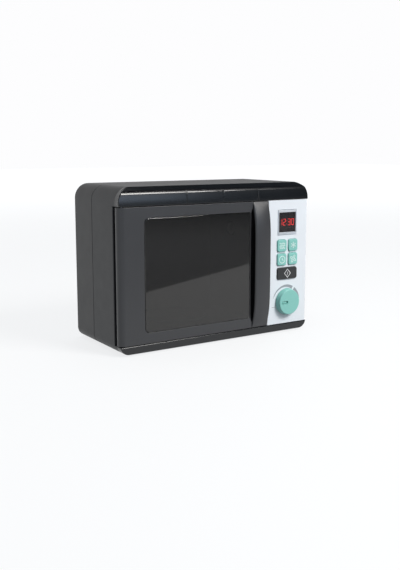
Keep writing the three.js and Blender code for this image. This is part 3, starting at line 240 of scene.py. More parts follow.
def cell_jacket():
    """A dry cell's printed film over its steel can, with a pale ring at one end of the print."""
    material, tree, shader, place = blank("printed_cell_film", "#3a4a6a", Roughness=0.3, IOR=1.5)
    along = add(tree, "ShaderNodeSeparateXYZ", {}, {"Vector": place})
    middle, half = span("battery_1")[2][0] + 15 * MM, 4 * MM
    ring = add(tree, MATH, {"operation": "COMPARE", 1: middle, 2: half}, {0: along})
    ends = {MIX_FIRST: linear("#33415e"), MIX_SECOND: linear("#c9b27c")}
    tint = add(tree, MIX, COLOURS | ends, {0: ring})
    scuffs = drift(tree, place, 3, 6.0, 0.2, 0.45)
    feed(shader, {"Base Color": tint.outputs[MIX_RESULT], "Roughness": scuffs})
    return material


# The finish of each material slot. A moulded one gives its roughness, and its grain's size and
# depth in millimetres. A polished one gives its clouds' size in millimetres, their detail, and its
# least and greatest roughness.
FINISHES = {
    # Gloss black ABS from a polished mould: deep reflections, slightly wavy where it shrank
    "gloss_black": moulded("gloss_black_abs", "#101318", 0.2, 2.0, 0.001, waves=0.006),
    # Black ABS from a spark-eroded mould: an even matt sparkle. The real grain of 0.1 mm is drawn
    # at 0.7 mm, or it wouldn't show.
    "satin_black": moulded("textured_black_abs", "#121315", 0.5, 0.7, 0.035),
    # Anthracite ABS from a vapour-blasted mould: a soft sheen with a faint grain
    "anthracite": moulded("satin_anthracite_abs", "#333437", 0.38, 0.6, 0.006),
    # White ABS from a polished mould: clean and slightly cool, with a soft gloss
    "panel_white": moulded("white_abs", "#eaf1f8", 0.26, 1.5, 0.001, haze=0.03),
    # Mint green ABS from a fine-ground mould: a milky half gloss
    "mint": moulded("mint_abs", "#8accc4", 0.36, 0.8, 0.003),
    # Dark grey ABS of the start key: the same mould finish as the mint keys
    "key_grey": moulded("dark_grey_abs", "#242628", 0.42, 0.8, 0.003),
    # Satin chrome plated on ABS: a bright, soft mirror, cloudy where it has been handled
    "chrome": polished("satin_chrome_plate", "#d6dbe0", 4, 5.0, 0.32, 0.46, Metallic=1.0),
    # Smoke grey polycarbonate from a polished mould: dark, glossy, and just see-through
    "smoke": polished(
        "smoked_polycarbonate", "#5a5650", 22, 5.0, 0.0, 0.05, Transmission_Weight=1.0, IOR=1.585
    ),
    # Red ink of the display's digits, with a painted glow: an emission makes the ink shine a
    # little, though no lamp lights it
    "digit_red": moulded(
        "red_ink_painted_glow", "#e23b3b", 0.5, 0.5, 0.001, IOR=1.5,
        Emission_Color=linear("#ff3a36"), Emission_Strength=1.7,
    ),
    "board_green": solder_mask(),
    "steel": zinc_plate(),
    # Moulded black rubber: matt and slightly dusty
    "rubber": moulded("moulded_rubber", "#202122", 0.85, 0.8, 0.02, haze=0.08, IOR=1.52),
    # Opal acrylic of the lamp's lens: blasted on the inside, so it spreads the light
    "lens_frost": moulded(
        "frosted_acrylic", "#dfe8f2", 0.4, 0.8, 0.01, IOR=1.49, Transmission_Weight=0.55
    ),
    # Clear cast epoxy of a light-emitting diode
    "led_clear": moulded(
        "clear_epoxy", "#e8f0ff", 0.08, 2.0, 0.0005, IOR=1.54, Transmission_Weight=0.9
    ),
    "cell_jacket": cell_jacket(),
    # Pressed black paper pulp of a speaker's cone: fibrous and dull
    "speaker_paper": moulded("pressed_paper", "#2a2a2c", 0.9, 0.9, 0.05, haze=0.06, IOR=1.5),
    # Natural white acetal, for what slides and turns: waxy, a little see-through
    "white_plastic": moulded(
        "white_acetal", "#e6e6e2", 0.42, 1.0, 0.002, IOR=1.48, Subsurface_Weight=0.1
    ),
    # Extruded PVC round a lead: an even half gloss
    "red_lead": moulded("red_pvc", "#b02a26", 0.42, 1.2, 0.002),
    "grey_lead": moulded("grey_pvc", "#77797c", 0.42, 1.2, 0.002),
}
# Clear polished styrene of the display's pane, with a breath of red tint
CLEAR_STYRENE = polished(
    "clear_styrene", "#d2c4c6", 9, 4.0, 0.0, 0.03, Transmission_Weight=1.0, IOR=1.59
)
# Black-brown printed film behind the display's pane: smooth, with a half gloss
DISPLAY_FILM = moulded("printed_film", "#080506", 0.25, 0.5, 0.0005, IOR=1.5)
# Pad-printing inks, thin matt films: grey on the panel, white on the start key, and near-white on
# the mint keys, with the mint just showing through
GREY_INK = moulded("grey_pad_ink", "#9ba1a8", 0.5, 0.4, 0.001, IOR=1.5)
WHITE_INK = moulded("white_pad_ink", "#eef1f3", 0.5, 0.4, 0.001, IOR=1.5)
PALE_INK = moulded("pale_mint_ink", "#e6f7f4", 0.5, 0.4, 0.001, IOR=1.5)

SLOT_OF = {part["node"]: part["material_slot"] for part in frame["record"]["subparts"]}
BODIES = frame["record"]["behaviour"]["bodies"]
BODY_OF = {node: body for body, nodes in BODIES.items() for node in nodes}

REPLACED = set()  # the CAD nodes that finished pieces stand for so far


# Meshes


def merged(mesh):
    """A working copy of a mesh, with its doubled points merged."""
    work = bmesh.new()
    work.from_mesh(mesh)
    bmesh.ops.remove_doubles(work, verts=work.verts, dist=MERGE)
    return work


def skin(name, shells, looped=False):
    """A mesh of closed shells, with every face turned out. Each shell is an array of rings of
    points, with four-cornered faces from each ring to the next. A looped shell's last ring joins
    its first, and another shell has a flat face over each end."""
    points, faces, start = [], [], 0
    for rings in shells:
        count, around, _ = rings.shape
        index = start + np.arange(count * around).reshape(count, around)
        if looped:
            index = np.vstack([index, index[:1]])
        ahead = np.roll(index, -1, axis=1)
        corners = np.stack([index[:-1], ahead[:-1], ahead[1:], index[1:]], -1)
        faces += corners.reshape(-1, 4).tolist()
        if not looped:
            faces += [index[0].tolist(), index[-1].tolist()]
        points.append(rings.reshape(-1, 3))
        start += count * around
    mesh = bpy.data.meshes.new(name)
    mesh.from_pydata(np.concatenate(points).tolist(), [], faces)
    work = merged(mesh)
    bmesh.ops.recalc_face_normals(work, faces=work.faces)
    work.to_mesh(mesh)
    work.free()
    return mesh


def placed(name, data):
    """A new object in the scene."""
    made = bpy.data.objects.new(name, data)
    bpy.context.scene.collection.objects.link(made)
    return made


def piece(name, form, node, finish=None, beside=False, looped=False):
    """Puts a mesh, or the shells of one, in the scene. It is smooth but for its sharp edges, its
    flat faces are kept flat, it rides with a CAD node, and it takes the finish of that node's slot
    unless it is given one. It stands for the node, or lies beside it."""
    mesh = form if isinstance(form, bpy.types.Mesh) else skin(name, form, looped)
    made = placed(name, mesh)
    mesh.materials.clear()
    mesh.materials.append(finish or FINISHES[SLOT_OF[node]])
    mesh.polygons.foreach_set("use_smooth", np.ones(len(mesh.polygons), bool))
    mesh.set_sharp_from_angle(angle=SHARP)
    flat = made.modifiers.new("flat_faces", "WEIGHTED_NORMAL")
    flat.keep_sharp = True
    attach(made, BODY_OF[node])
    if not beside:
        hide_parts(node)
        REPLACED.add(node)
    return made


def outline(half, radii, place, depth, inset=0.0, share=1.0):
    """Points round a rectangle in front of a place, at a depth. half is half of its width and
    height. Each corner is a quarter circle, centre + radius * (cos a, sin a), and radii gives the
    top right, top left, bottom left and bottom right ones, seen from the front. inset moves the
    line in, and share then scales it."""
    angle = CORNER_TURNS + QUARTER * np.arange(4)[:, None]
    radius = np.maximum(np.broadcast_to(radii, 4) - inset, MERGE)[:, None]
    side = np.array([[1, 1], [-1, 1], [-1, -1], [1, -1]])
    corner = side * (np.asarray(half) - inset - radius)
    x = (corner[:, :1] + radius * np.cos(angle)).ravel() * share
    z = (corner[:, 1:] + radius * np.sin(angle)).ravel() * share
    return np.stack([place[0] + x, np.full(x.size, depth), place[2] + z], -1)


def rim_rings(half, radii, place, front, edge, way=1):
    """Rings of a rounded rim, a quarter circle: at the angle t it is edge*(1 - cos t) in from the
    side, or out from it where way is -1, and edge*(1 - sin t) behind the front."""
    steps = [(edge * (1 - math.sin(t)), way * edge * (1 - math.cos(t))) for t in RIM_TURNS]
    return [outline(half, radii, place, front + behind, inset) for behind, inset in steps]


def front_rings(half, radii, place, front, edge, crown=0.0):
    """Rings of a block's front with its rim. The face stands out by crown*(1 - s*s), with s
    falling from 1 at the rim to almost 0 in the middle."""
    face = [
        outline(half, radii, place, front - crown * (1 - s * s), edge, s) for s in FACE_SHARES
    ]
    return rim_rings(half, radii, place, front, edge) + face


def softened(corners, radius):
    """A profile with its corners rounded, made from millimetres to metres. A corner C becomes the
    curve (1-t)^2 A + 2t(1-t) C + t^2 B, where A and B lie on its two sides, radius away from C or
    halfway along a short side."""
    corners = np.array(corners, float)
    before, corner, after = corners[:-2], corners[1:-1], corners[2:]

    def towards(end):
        way = end - corner
        length = np.linalg.norm(way, axis=1, keepdims=True)
        return (corner + way * np.minimum(radius / length, 0.5))[:, None]

    t = np.linspace(0, 1, 5)[None, :, None]
    ends = (1 - t) ** 2 * towards(before) + t**2 * towards(after)
    curve = ends + 2 * t * (1 - t) * corner[:, None]
    return MM * np.vstack([corners[:1], curve.reshape(-1, 2), corners[-1:]])


def polar(radii, sides):
    """The two coordinates of a grid of radii and of angles round a full turn: radius * cos a and
    radius * sin a."""
    angle = np.arange(sides) * 2 * np.pi / sides
    return radii[:, None] * np.cos(angle), radii[:, None] * np.sin(angle)


def turned(profile, place, axis, sides=72):
    """Rings of a turned shape: each (radius, height) of the profile is carried round an axis
    through a place. axis is the number of the coordinate that the height is measured in."""
    radius, height = np.array(profile).T
    one, other = [i for i in range(3) if i != axis]
    first, second = polar(np.maximum(radius, POLE), sides)
    rings = np.empty((*first.shape, 3))
    rings[..., one] = place[one] + first
    rings[..., other] = place[other] + second
    rings[..., axis] = height[:, None]
    return rings


QUARTER_TURN = np.array([[0, 1], [-1, 0]])
CAP_TURNS = np.linspace(0, QUARTER, 5)  # round an end of a raised line
LINE_STEP = 0.3 * MM
# A raised line's section: shares of its half width across, and of its rise
LINE_ACROSS = np.array([-1, -1, -0.75, 0.75, 1, 1])
LINE_UP = np.array([0, 0.6, 1, 1, 0.6, 0])


def strip(path, width, base, rise, closed=False):
    """Rings of a raised line along a path of (x, z) points in front of the depth base. At each
    point the line is spread to both sides along the mitre, the sum of its two normals over
    1 + their product. The width of an open line's round ends is 2*sqrt(h*h - (h - s)^2), with h
    half the width and s the way from the end."""
    path = np.asarray(path, float)
    half = width / 2
    if not closed:
        steps = np.linalg.norm(np.diff(path, axis=0), axis=1)
        along = np.append(0, np.cumsum(steps))
        cap = half * (1 - np.cos(CAP_TURNS))
        inner = np.linspace(half, along[-1] - half, max(int(along[-1] / LINE_STEP), 2))
        way = np.concatenate([cap[:-1], inner, along[-1] - cap[-2::-1]])
        path = np.stack([np.interp(way, along, path[:, i]) for i in (0, 1)], -1)
        end = np.minimum(np.minimum(way, along[-1] - way), half)
        half = np.maximum(np.sqrt(half**2 - (half - end) ** 2), MERGE)[:, None]
    forward = np.roll(path, -1, axis=0) - path
    if not closed:
        forward[-1] = forward[-2]
    normal = forward @ QUARTER_TURN / np.linalg.norm(forward, axis=1, keepdims=True)
    last = np.roll(normal, 1, axis=0)
    if not closed:
        last[0] = normal[0]
    mitre = (normal + last) / (1 + (normal * last).sum(1, keepdims=True))
    points = path[:, None] + (mitre * half)[:, None] * LINE_ACROSS[:, None]
    depth = np.broadcast_to(base - LINE_UP * rise, points.shape[:2])
    return np.stack([points[..., 0], depth, points[..., 1]], -1)


RAY_START = 0.1 * MM


def reachable(work):
    """The convex sharp edges of a mesh that lie open: a ray out along the sum of the two faces'
    normals meets nothing of the same piece."""
    tree = BVHTree.FromBMesh(work)
    for edge in work.edges:
        if len(edge.link_faces) != 2 or not edge.is_convex or edge.calc_face_angle() < SHARP:
            continue
        out = (edge.link_faces[0].normal + edge.link_faces[1].normal).normalized()
        start = (edge.verts[0].co + edge.verts[1].co) / 2 + out * RAY_START
        if tree.ray_cast(start, out)[0] is None:
            yield edge


FLAT = math.radians(0.4)  # triangles that bend less than this are one flat face
NEAR = 0.05 * MM  # how far an edge may lie from the place that it is picked by
BEVEL_SEGMENTS = 3


def dressed(node, edge, finish=None, wide=0.0, wide_at=None):
    """A copy of a CAD node as a finished piece: merged, with its flat faces whole, and with each
    edge that can be reached rounded, edge mm wide. Those edges along X whose (y, z) is wide_at
    are rounded wide mm instead."""
    mesh = frame["nodes"][node].data.copy()
    work = merged(mesh)
    bmesh.ops.dissolve_limit(work, angle_limit=FLAT, verts=work.verts, edges=work.edges)
    work.normal_update()
    weight = work.edges.layers.float.new("bevel_weight_edge")
    width = max(edge, wide)
    for open_edge in list(reachable(work)):
        ends = np.array([vert.co for vert in open_edge.verts])[:, 1:]
        at = wide_at is not None and np.allclose(ends, wide_at, atol=NEAR)
        open_edge[weight] = (wide if at else edge) / width
    work.to_mesh(mesh)
    work.free()
    made = piece(f"{node}_finished", mesh, node, finish)
    bevel = made.modifiers.new("rounded_edges", "BEVEL")
    bevel.limit_method = "WEIGHT"
    bevel.width = width * MM
    bevel.segments = BEVEL_SEGMENTS
    bevel.use_clamp_overlap = False
    bevel.harden_normals = True
    made.modifiers.move(1, 0)


# The cabinet and the door

# How wide the edges of the moulded shells are rounded, in millimetres
SHELL_EDGES = {
    "rear_housing": 0.5, "control_panel": 0.35, "cavity_liner": 0.5,
    "door_frame": 0.3, "door_back": 0.4, "battery_hatch": 0.35,
}
HOUSING_EDGE, CREASE_EDGE, BROKEN_EDGE = 0.9, 2.4, 0.15


def housings():
    """The moulded shells that the CAD holds whole, with their edges rounded. The header's crease
    is rounded most."""
    crease = (FACE_Y + BAND.lean, BAND.top)
    dressed("front_housing", HOUSING_EDGE, housing_abs(), CREASE_EDGE, crease)
    for node, edge in SHELL_EDGES.items():
        dressed(node, edge)


def inner_parts():
    """The small parts inside, with their edges just broken."""
    for node in sorted(set(SLOT_OF) - REPLACED):
        dressed(node, BROKEN_EDGE)


HANDLE_POWER = 5
HANDLE = lengths(
    seat=2.7, wall=3.5, end_block=5, blend=2.5, crown=0.7, right_radius=2.2, left_radius=2.6,
    end_edge=0.35, full_reach=5, lip=0.6, inner_radius=1.3, post_radius=3.5,
)
# Rings along the handle: through its end's solid block, the blend into the bar, and half the bar
BLOCK_RINGS, BLEND_RINGS, BAR_RINGS = 8, 9, 44
LIP_CURVE = np.array([0, 0.3, 1])
HANDLE_ACROSS = np.linspace(1, -1, 9)[1:-1]


def smooth(value):
    """The smooth step 3v^2 - 2v^3 of a value held between 0 and 1."""
    value = np.clip(value, 0, 1)
    return value * value * (3 - 2 * value)


def handle_reach(z):
    """How far the handle's bar stands out of the door at the height z: reach * (1 - |u|^5), with u
    the share of its half length."""
    low, high, middle = span("door_handle")
    u = np.abs(z - middle[2]) / (high[2] - middle[2])
    return (FACE_Y - low[1]) * (1 - u**HANDLE_POWER)


def handle_rings():
    """Rings of the arched bar, a hooked section carried up the door, whose ends lie flush. Its
    front edges are quarter circles that grow with the reach, and its front bulges by
    crown * (1 - v^2) across. The inner wall sinks to the seat over a smooth step at each solid
    end."""
    low, high, middle = span("door_handle")
    h = HANDLE
    seat, width = -h.seat, high[0] - low[0]
    edge = h.end_edge * (1 - np.cos(RIM_TURNS[::2]))
    blend = h.end_block + np.linspace(0, h.blend, BLEND_RINGS)
    block = np.linspace(edge[-1], blend[0], BLOCK_RINGS)
    bar = np.linspace(blend[-1], middle[2] - low[2], BAR_RINGS)
    to_end = np.concatenate([edge, block[1:], blend[1:], bar[1:]])
    z = np.concatenate([low[2] + to_end, high[2] - to_end[-2::-1]])[:, None]
    left = np.minimum(z - low[2], high[2] - z)
    reach = handle_reach(z)
    grown = smooth(reach / h.full_reach)
    right_radius = h.end_edge + (h.right_radius - h.end_edge) * grown
    left_radius = h.end_edge + (h.left_radius - h.end_edge) * grown
    crown = h.crown * grown
    step = smooth((left - h.end_block) / h.blend)
    inner = seat + (reach - h.wall - seat) * step
    lip = h.lip * step
    fillet = np.minimum(h.inner_radius, inner - seat)
    in_sine, in_cosine = 1 - np.sin(RIM_TURNS), 1 - np.cos(RIM_TURNS)
    flat = (width - right_radius - left_radius) / 2
    shoulder = reach - crown
    none = np.zeros_like(z)
    sideways = [
        none + width,
        width - right_radius * in_cosine,
        left_radius + flat * (1 + HANDLE_ACROSS),
        left_radius * in_sine,
        lip * LIP_CURVE,
        width - h.wall - fillet * in_sine,
        none + width - h.wall,
    ]
    outwards = [
        none + seat,
        shoulder - right_radius * in_sine,
        reach - crown * HANDLE_ACROSS**2,
        shoulder - left_radius * in_cosine,
        inner + lip * LIP_CURVE[::-1],
        inner - fillet * in_cosine,
        none + seat,
    ]
    a, d = np.hstack(sideways), np.hstack(outwards)
    shrink = h.end_edge - np.sqrt(h.end_edge**2 - np.maximum(h.end_edge - left, 0) ** 2)
    a = width / 2 + (a - width / 2) * (1 - shrink / (width / 2))
    d = d - shrink * (d - seat) / (reach - seat)
    return np.stack([low[0] + a, FACE_Y - d, np.broadcast_to(z, a.shape)], -1)


def handle():
    """The grip, with the two posts that its screws enter."""
    back, radius = span("door_handle")[1][1], HANDLE.post_radius
    shells = [handle_rings()]
    for node in ("handle_screw_1", "handle_screw_2"):
        place = span(node)[2]
        front = FACE_Y - handle_reach(place[2]) + HANDLE.wall / 2
        corners = [(0, front), (radius, front), (radius, back), (0, back)]
        shells.append(turned(corners, place, 1, 32))
    piece("door_grip", shells, "door_handle")


WINDOW = lengths(
    rim=2.3, right_step=0.3, rim_thickness=2.2, edge=1.1, radii=np.array([2, 6, 6, 2])
)


def door_window():
    """The smoked pane: a rim held behind the frame on three sides, and a middle with a rounded edge
    that stands just proud of the door."""
    low, high, _ = span("door_window")
    w = WINDOW
    rim_high = high - (w.right_step, 0, 0)
    field_low, field_high = low + (w.rim, 0, w.rim), high - (0, 0, w.rim)
    rim_place, place = (low + rim_high) / 2, (field_low + field_high) / 2
    rim_half, half = (rim_high - low)[[0, 2]] / 2, (field_high - field_low)[[0, 2]] / 2
    step = high[1] - w.rim_thickness
    rings = [
        outline(rim_half, w.radii + w.rim, rim_place, high[1]),
        outline(rim_half, w.radii + w.rim, rim_place, step),
        outline(half, w.radii, place, step),
        *front_rings(half, w.radii, place, low[1], w.edge),
    ]
    piece("window_pane", [np.array(rings)], "door_window")


# The control panel

# The opening is wider than the pane by the clearance, and its lip starts behind the front by the
# slope
BEZEL = lengths(
    flange=1.6, flange_thickness=1.4, corner=1.2, edge=0.45, clearance=0.3, opening_corner=0.3,
    lip=0.25, slope=0.45,
)
PANE_EDGE, FILM_EDGE, FILM_SINK, DIGIT_RISE = 0.2 * MM, 0.1 * MM, 0.4 * MM, 0.28 * MM


def display():
    """The chromed bezel, a ring whose section runs from its flange over a rounded front to the
    opening, then the clear pane, the dark film and the red digits, whose glow is painted by an
    emission in their ink."""
    low, high, place = span("display_frame")
    pane_low, pane_high, _ = span("display_window")
    b = BEZEL
    flange, half = (high - low)[[0, 2]] / 2, (pane_high - pane_low)[[0, 2]] / 2
    outer, opening = flange - b.flange, half + b.clearance
    behind = high[1] - b.flange_thickness
    rings = [
        outline(opening, b.opening_corner, place, high[1]),
        outline(flange, MERGE, place, high[1]),
        outline(flange, MERGE, place, behind),
        outline(outer, b.corner, place, behind),
        *rim_rings(outer, b.corner, place, low[1], b.edge),
        *rim_rings(opening, b.opening_corner, place, low[1] + b.slope, b.lip, -1)[::-1],
    ]
    piece("display_bezel", [np.array(rings)], "display_frame", looped=True)
    film_low, film_high, _ = span("display_digits")
    film_front = film_low[1] + FILM_SINK
    for name, node, front, back, edge, finish in (
        ("display_pane", "display_window", pane_low[1], pane_high[1], PANE_EDGE, CLEAR_STYRENE),
        ("display_film", "display_digits", film_front, film_high[1], FILM_EDGE, DISPLAY_FILM),
    ):
        rear = outline(half, b.opening_corner, place, back)
        rings = [rear, *front_rings(half, b.opening_corner, place, front, edge)]
        piece(name, [np.array(rings)], node, finish)
    # The digits take the red ink with its painted glow
    piece("display_figures", digit_bars(place, film_front), "display_digits")


DIGIT = lengths(width=4.4, height=8.9, stroke=0.64, gap=1.6)
BAR_GAP = 0.16  # how far each end of a bar stops short, in strokes
DOT_REACH = 0.51  # half the length of the colon's dots, in strokes
# The ends of a digit's seven bars, as shares of half its width and half its height
BAR_SHARES = {
    "top": ((-1, 1), (1, 1)),
    "middle": ((-1, 0), (1, 0)),
    "bottom": ((-1, -1), (1, -1)),
    "upper_left": ((-1, 1), (-1, 0)),
    "upper_right": ((1, 1), (1, 0)),
    "lower_left": ((-1, 0), (-1, -1)),
    "lower_right": ((1, 0), (1, -1)),
}
SHOWN = [
    ["upper_right", "lower_right"],
    ["top", "upper_right", "middle", "lower_left", "bottom"],
    ["top", "upper_right", "middle", "lower_right", "bottom"],
    ["top", "upper_right", "lower_right", "bottom", "lower_left", "upper_left"],
]


def digit_bars(place, base):
    """Shells of the four digits and the colon, in front of the depth base. Each bar is a raised
    line that stops short of the bars it meets."""
    half = np.array([DIGIT.width - DIGIT.stroke, DIGIT.height - DIGIT.stroke]) / 2
    pitch = DIGIT.width + DIGIT.gap
    lines = []
    for i, names in enumerate(SHOWN):
        from_middle = i - (len(SHOWN) - 1) / 2
        colon_room = np.sign(from_middle) * (DIGIT.stroke + DIGIT.gap) / 2
        middle_x = place[0] + from_middle * pitch + colon_room
        for name in names:
            ends = np.array(BAR_SHARES[name]) * half + (middle_x, place[2])
            way = (ends[1] - ends[0]) / np.linalg.norm(ends[1] - ends[0])
            lines.append(ends + np.outer([BAR_GAP, -BAR_GAP], way) * DIGIT.stroke)
    for side in (-1, 1):
        dot = np.array([place[0], place[2] + side * DIGIT.height / 4])
        reach = np.array([DIGIT.stroke * DOT_REACH, 0])
        lines.append([dot - reach, dot + reach])
    return [strip(line, DIGIT.stroke, base, DIGIT_RISE) for line in lines]


# The flange lies between flange_back and flange_front, in front of the stem's end
KEY = lengths(
    corner=3, edge=0.9, crown=0.12, stem=2.5, flange=1, flange_corner=0.5, flange_back=3.7,
    flange_front=5.2, ink=0.14,
)


def key(node):
    """A key: the stem, the flange behind the panel, and the cap with its rounded rim and slightly
    crowned face."""
    low, high, place = span(node)
    k = KEY
    flange, stem = (high - low)[[0, 2]] / 2, np.full(2, k.stem)
    half = flange - k.flange
    behind, before = high[1] - k.flange_back, high[1] - k.flange_front
    rings = [
        outline(stem, k.stem, place, high[1]),
        outline(stem, k.stem, place, behind),
        outline(flange, k.flange_corner, place, behind),
        outline(flange, k.flange_corner, place, before),
        outline(half, k.corner, place, before),
        *front_rings(half, k.corner, place, low[1] + k.crown, k.edge, k.crown),
    ]
    piece(f"{node}_cap", [np.array(rings)], node)


def printed(node, part, lines, width, ink):
    """What is printed on a key: raised lines, in millimetres from its face's middle. Those of a
    ring close on themselves."""
    low, _, place = span(node)
    closed = part == "ring"
    base, rise = low[1] + 2 * KEY.crown, 2 * KEY.crown + KEY.ink
    paths = [np.array(line) * MM + place[[0, 2]] for line in lines]
    shells = [strip(path, width * MM, base, rise, closed) for path in paths]
    piece(f"{node}_{part}", shells, node, ink, beside=True, looped=closed)


def wave_lines():
    """Three waves, each the mirror image of the next: z = row + rise * sin(2 pi * 3 * share)."""
    length, rise, pitch = 9.4, 0.9, 3
    share = np.linspace(0, 1, 72)
    x = (share - 0.5) * length
    wave = rise * np.sin(2 * np.pi * 3 * share)
    return [np.stack([x, i * pitch - (-1) ** i * wave], -1) for i in (-1, 0, 1)]


def frost_lines():
    """A snow crystal: six arms from the middle, with a small fork near the end of each."""
    start, end, fork_at, fork_out, fork_side = 0.4, 4.2, 3, 0.8, 0.9
    lines = []
    for arm in range(6):
        angle = np.pi / 2 + arm * np.pi / 3
        out, side = np.array([[np.cos(angle), np.sin(angle)], [-np.sin(angle), np.cos(angle)]])
        fork = out * fork_at
        lines.append([out * start, out * end])
        lines += [[fork, fork + out * fork_out + side * way * fork_side] for way in (1, -1)]
    return lines


def fan_lines():
    """A fan: four blades, each a loop that bulges to 5.3 * sin(pi * share)^0.8 from the middle."""
    reach, fullness, spread, lean = 5.3, 0.8, 1.3, np.pi / 3
    share = np.linspace(0.04, 0.96, 24)
    radius = reach * np.sin(np.pi * share) ** fullness
    angles = [lean + blade * QUARTER + (share - 0.5) * spread for blade in range(4)]
    return [np.stack([radius * np.cos(a), radius * np.sin(a)], -1) for a in angles]


CLOCK_HANDS = [(0, 2.9), (0, -0.1), (2.1, -1.2)]
CLOCK_RING = np.dstack(polar(np.array([4.7]), 48))  # one line of 48 points
START_STROKE = [(-0.5, -2.4), (0.5, 2.4)]
START_DIAMOND = [(0, -5.7), (5.2, 0), (0, 5.7), (-5.2, 0)]


def keys():
    """The five keys and what is printed on them: each print's lines and their width."""
    prints = {
        "key_waves": {"symbol": (wave_lines(), 0.85)},
        "key_defrost": {"symbol": (frost_lines(), 0.9)},
        "key_clock": {"symbol": ([CLOCK_HANDS], 0.95), "ring": (CLOCK_RING, 0.95)},
        "key_grill": {"symbol": (fan_lines(), 0.85)},
        "key_start": {"symbol": ([START_STROKE], 0.75), "ring": ([START_DIAMOND], 0.75)},
    }
    for node, parts in prints.items():
        key(node)
        ink = WHITE_INK if node == "key_start" else PALE_INK
        for part, (lines, width) in parts.items():
            printed(node, part, lines, width, ink)


POINTER = lengths(
    start=2.6, end=13.4, half=2.1, soft=0.25, gap=0.85, gap_depth=2.8, rib_depth=0.5, well=5.2,
    well_depth=4.5,
)
DIAL = lengths(draft=1.5, edge=0.8, back_edge=0.3, margin=1)
DIAL_SIDES, SLOT_RINGS, FLAT_RINGS = 420, 96, 5


def pointer_depth(x, z):
    """How deep the pointer's slot is at (x, z) from the dial's axis. With q the half width less the
    way to the slot's spine, it sinks to a gap over the smooth step of q / soft. Past the gap a rib
    rises in the middle, and the end near the axis is a deeper well."""
    p = POINTER
    spine = np.clip(x, p.half - p.end, -p.start - p.half)
    q = p.half - np.hypot(x - spine, z)
    rib = smooth((q - p.gap) / p.soft)
    slot = p.gap_depth + (p.rib_depth - p.gap_depth) * rib
    well = smooth((x + p.well) / (2 * p.soft))
    floor = slot + (p.well_depth - slot) * well
    return floor * smooth(q / p.soft)


def timer_dial():
    """The dial on a grid of radius and angle. Its face is flat but for the pointer's slot, its rim
    is a quarter circle, and its side widens a little towards the panel."""
    low, high, place = span("timer_dial")
    radius, edge = (high[0] - low[0]) / 2, DIAL.edge
    face_edge = radius - DIAL.draft - edge
    slot_end = POINTER.end + DIAL.margin
    slot = np.linspace(POLE, slot_end, SLOT_RINGS)
    flat = np.linspace(slot_end, face_edge, FLAT_RINGS)
    x, z = polar(np.append(slot, flat[1:]), DIAL_SIDES)
    face = np.stack([place[0] + x, low[1] + pointer_depth(x, z), place[2] + z], -1)
    profile = [
        (face_edge + edge * math.cos(t), low[1] + edge * (1 - math.sin(t)))
        for t in RIM_TURNS[-2::-1]
    ]
    profile += [(radius, high[1] - DIAL.back_edge), (radius - DIAL.back_edge, high[1])]
    side = turned(profile, place, 1, DIAL_SIDES)
    piece("dial_knob", [np.concatenate([face, side])], "timer_dial")


SCALE = lengths(outer=23.2, thin=0.6, thick=4.4, ink=0.06, line=0.5)
ARC_STEPS = 60
# The two arcs' first and last angle in degrees, and the line's ends in millimetres from the axis
RISING_ARC, FALLING_ARC = (165, 60), (52, 5)
ZERO_LINE = np.array([(-24.6, -6.4), (-19, -6.4)])


def arc_shell(place, degrees, widths):
    """Rings of a printed arc round the dial: its outer radius stays, and its width goes evenly
    from the first to the second of widths."""
    angle = np.radians(np.linspace(*degrees, ARC_STEPS))[:, None]
    inner = SCALE.outer - np.linspace(*widths, ARC_STEPS)[:, None]
    radius = np.hstack([inner, inner, np.full((ARC_STEPS, 2), SCALE.outer)])
    depth = np.broadcast_to(FACE_Y + SCALE.ink * np.array([1, -1, -1, 1]), radius.shape)
    x, z = radius * np.cos(angle), radius * np.sin(angle)
    return np.stack([place[0] + x, depth, place[2] + z], -1)


def dial_scale():
    """The scale printed on the panel: an arc that grows from the left to a break near one o'clock
    and thins out on the right, and a short line at the left."""
    place = span("timer_dial")[2]
    line = ZERO_LINE * MM + place[[0, 2]]
    shells = [
        arc_shell(place, RISING_ARC, (SCALE.thin, SCALE.thick)),
        arc_shell(place, FALLING_ARC, (SCALE.thick, SCALE.thin)),
        strip(line, SCALE.line, FACE_Y + SCALE.ink, 2 * SCALE.ink),
    ]
    piece("dial_scale", shells, "control_panel", GREY_INK, beside=True)


# Turned parts. Their corners are (radius, height) in millimetres.


def turntable():
    """The plate: a dished disc with two raised rings and a raised rim."""
    low, high, place = span("turntable_plate")
    radius = (high[0] - low[0]) / 2 / MM
    well, floor, top = radius - 6, 2.5, 4
    raised = [
        (at + way, z)
        for at in (radius * 2 / 3, radius / 3)
        for way, z in ((0.9, floor), (0, floor + 0.9), (-0.9, floor))
    ]
    rim = [(radius, 2.7), (radius, top), (radius - 2.4, top)]
    corners = [(0, 0), (well, 0), *rim, (well, floor), *raised, (0, floor)]
    profile = softened(corners, 0.6) + (0, low[2])
    piece("turntable_disc", [turned(profile, place, 2, 96)], "turntable_plate")


def feet():
    """Four rubber feet, each with a shallow ring pressed into its underside."""
    pressed_ring = [(3, 0), (3.4, 0.5), (5, 0.5), (5.4, 0)]
    for i in range(1, 5):
        low, high, place = span(f"foot_{i}")
        radius, top = (high[0] - low[0]) / 2 / MM, high[2] / MM
        corners = [(0, 0), *pressed_ring, (radius - 0.4, 0), (radius, top), (0, top)]
        piece(f"foot_pad_{i}", [turned(softened(corners, 0.4), place, 2)], f"foot_{i}")


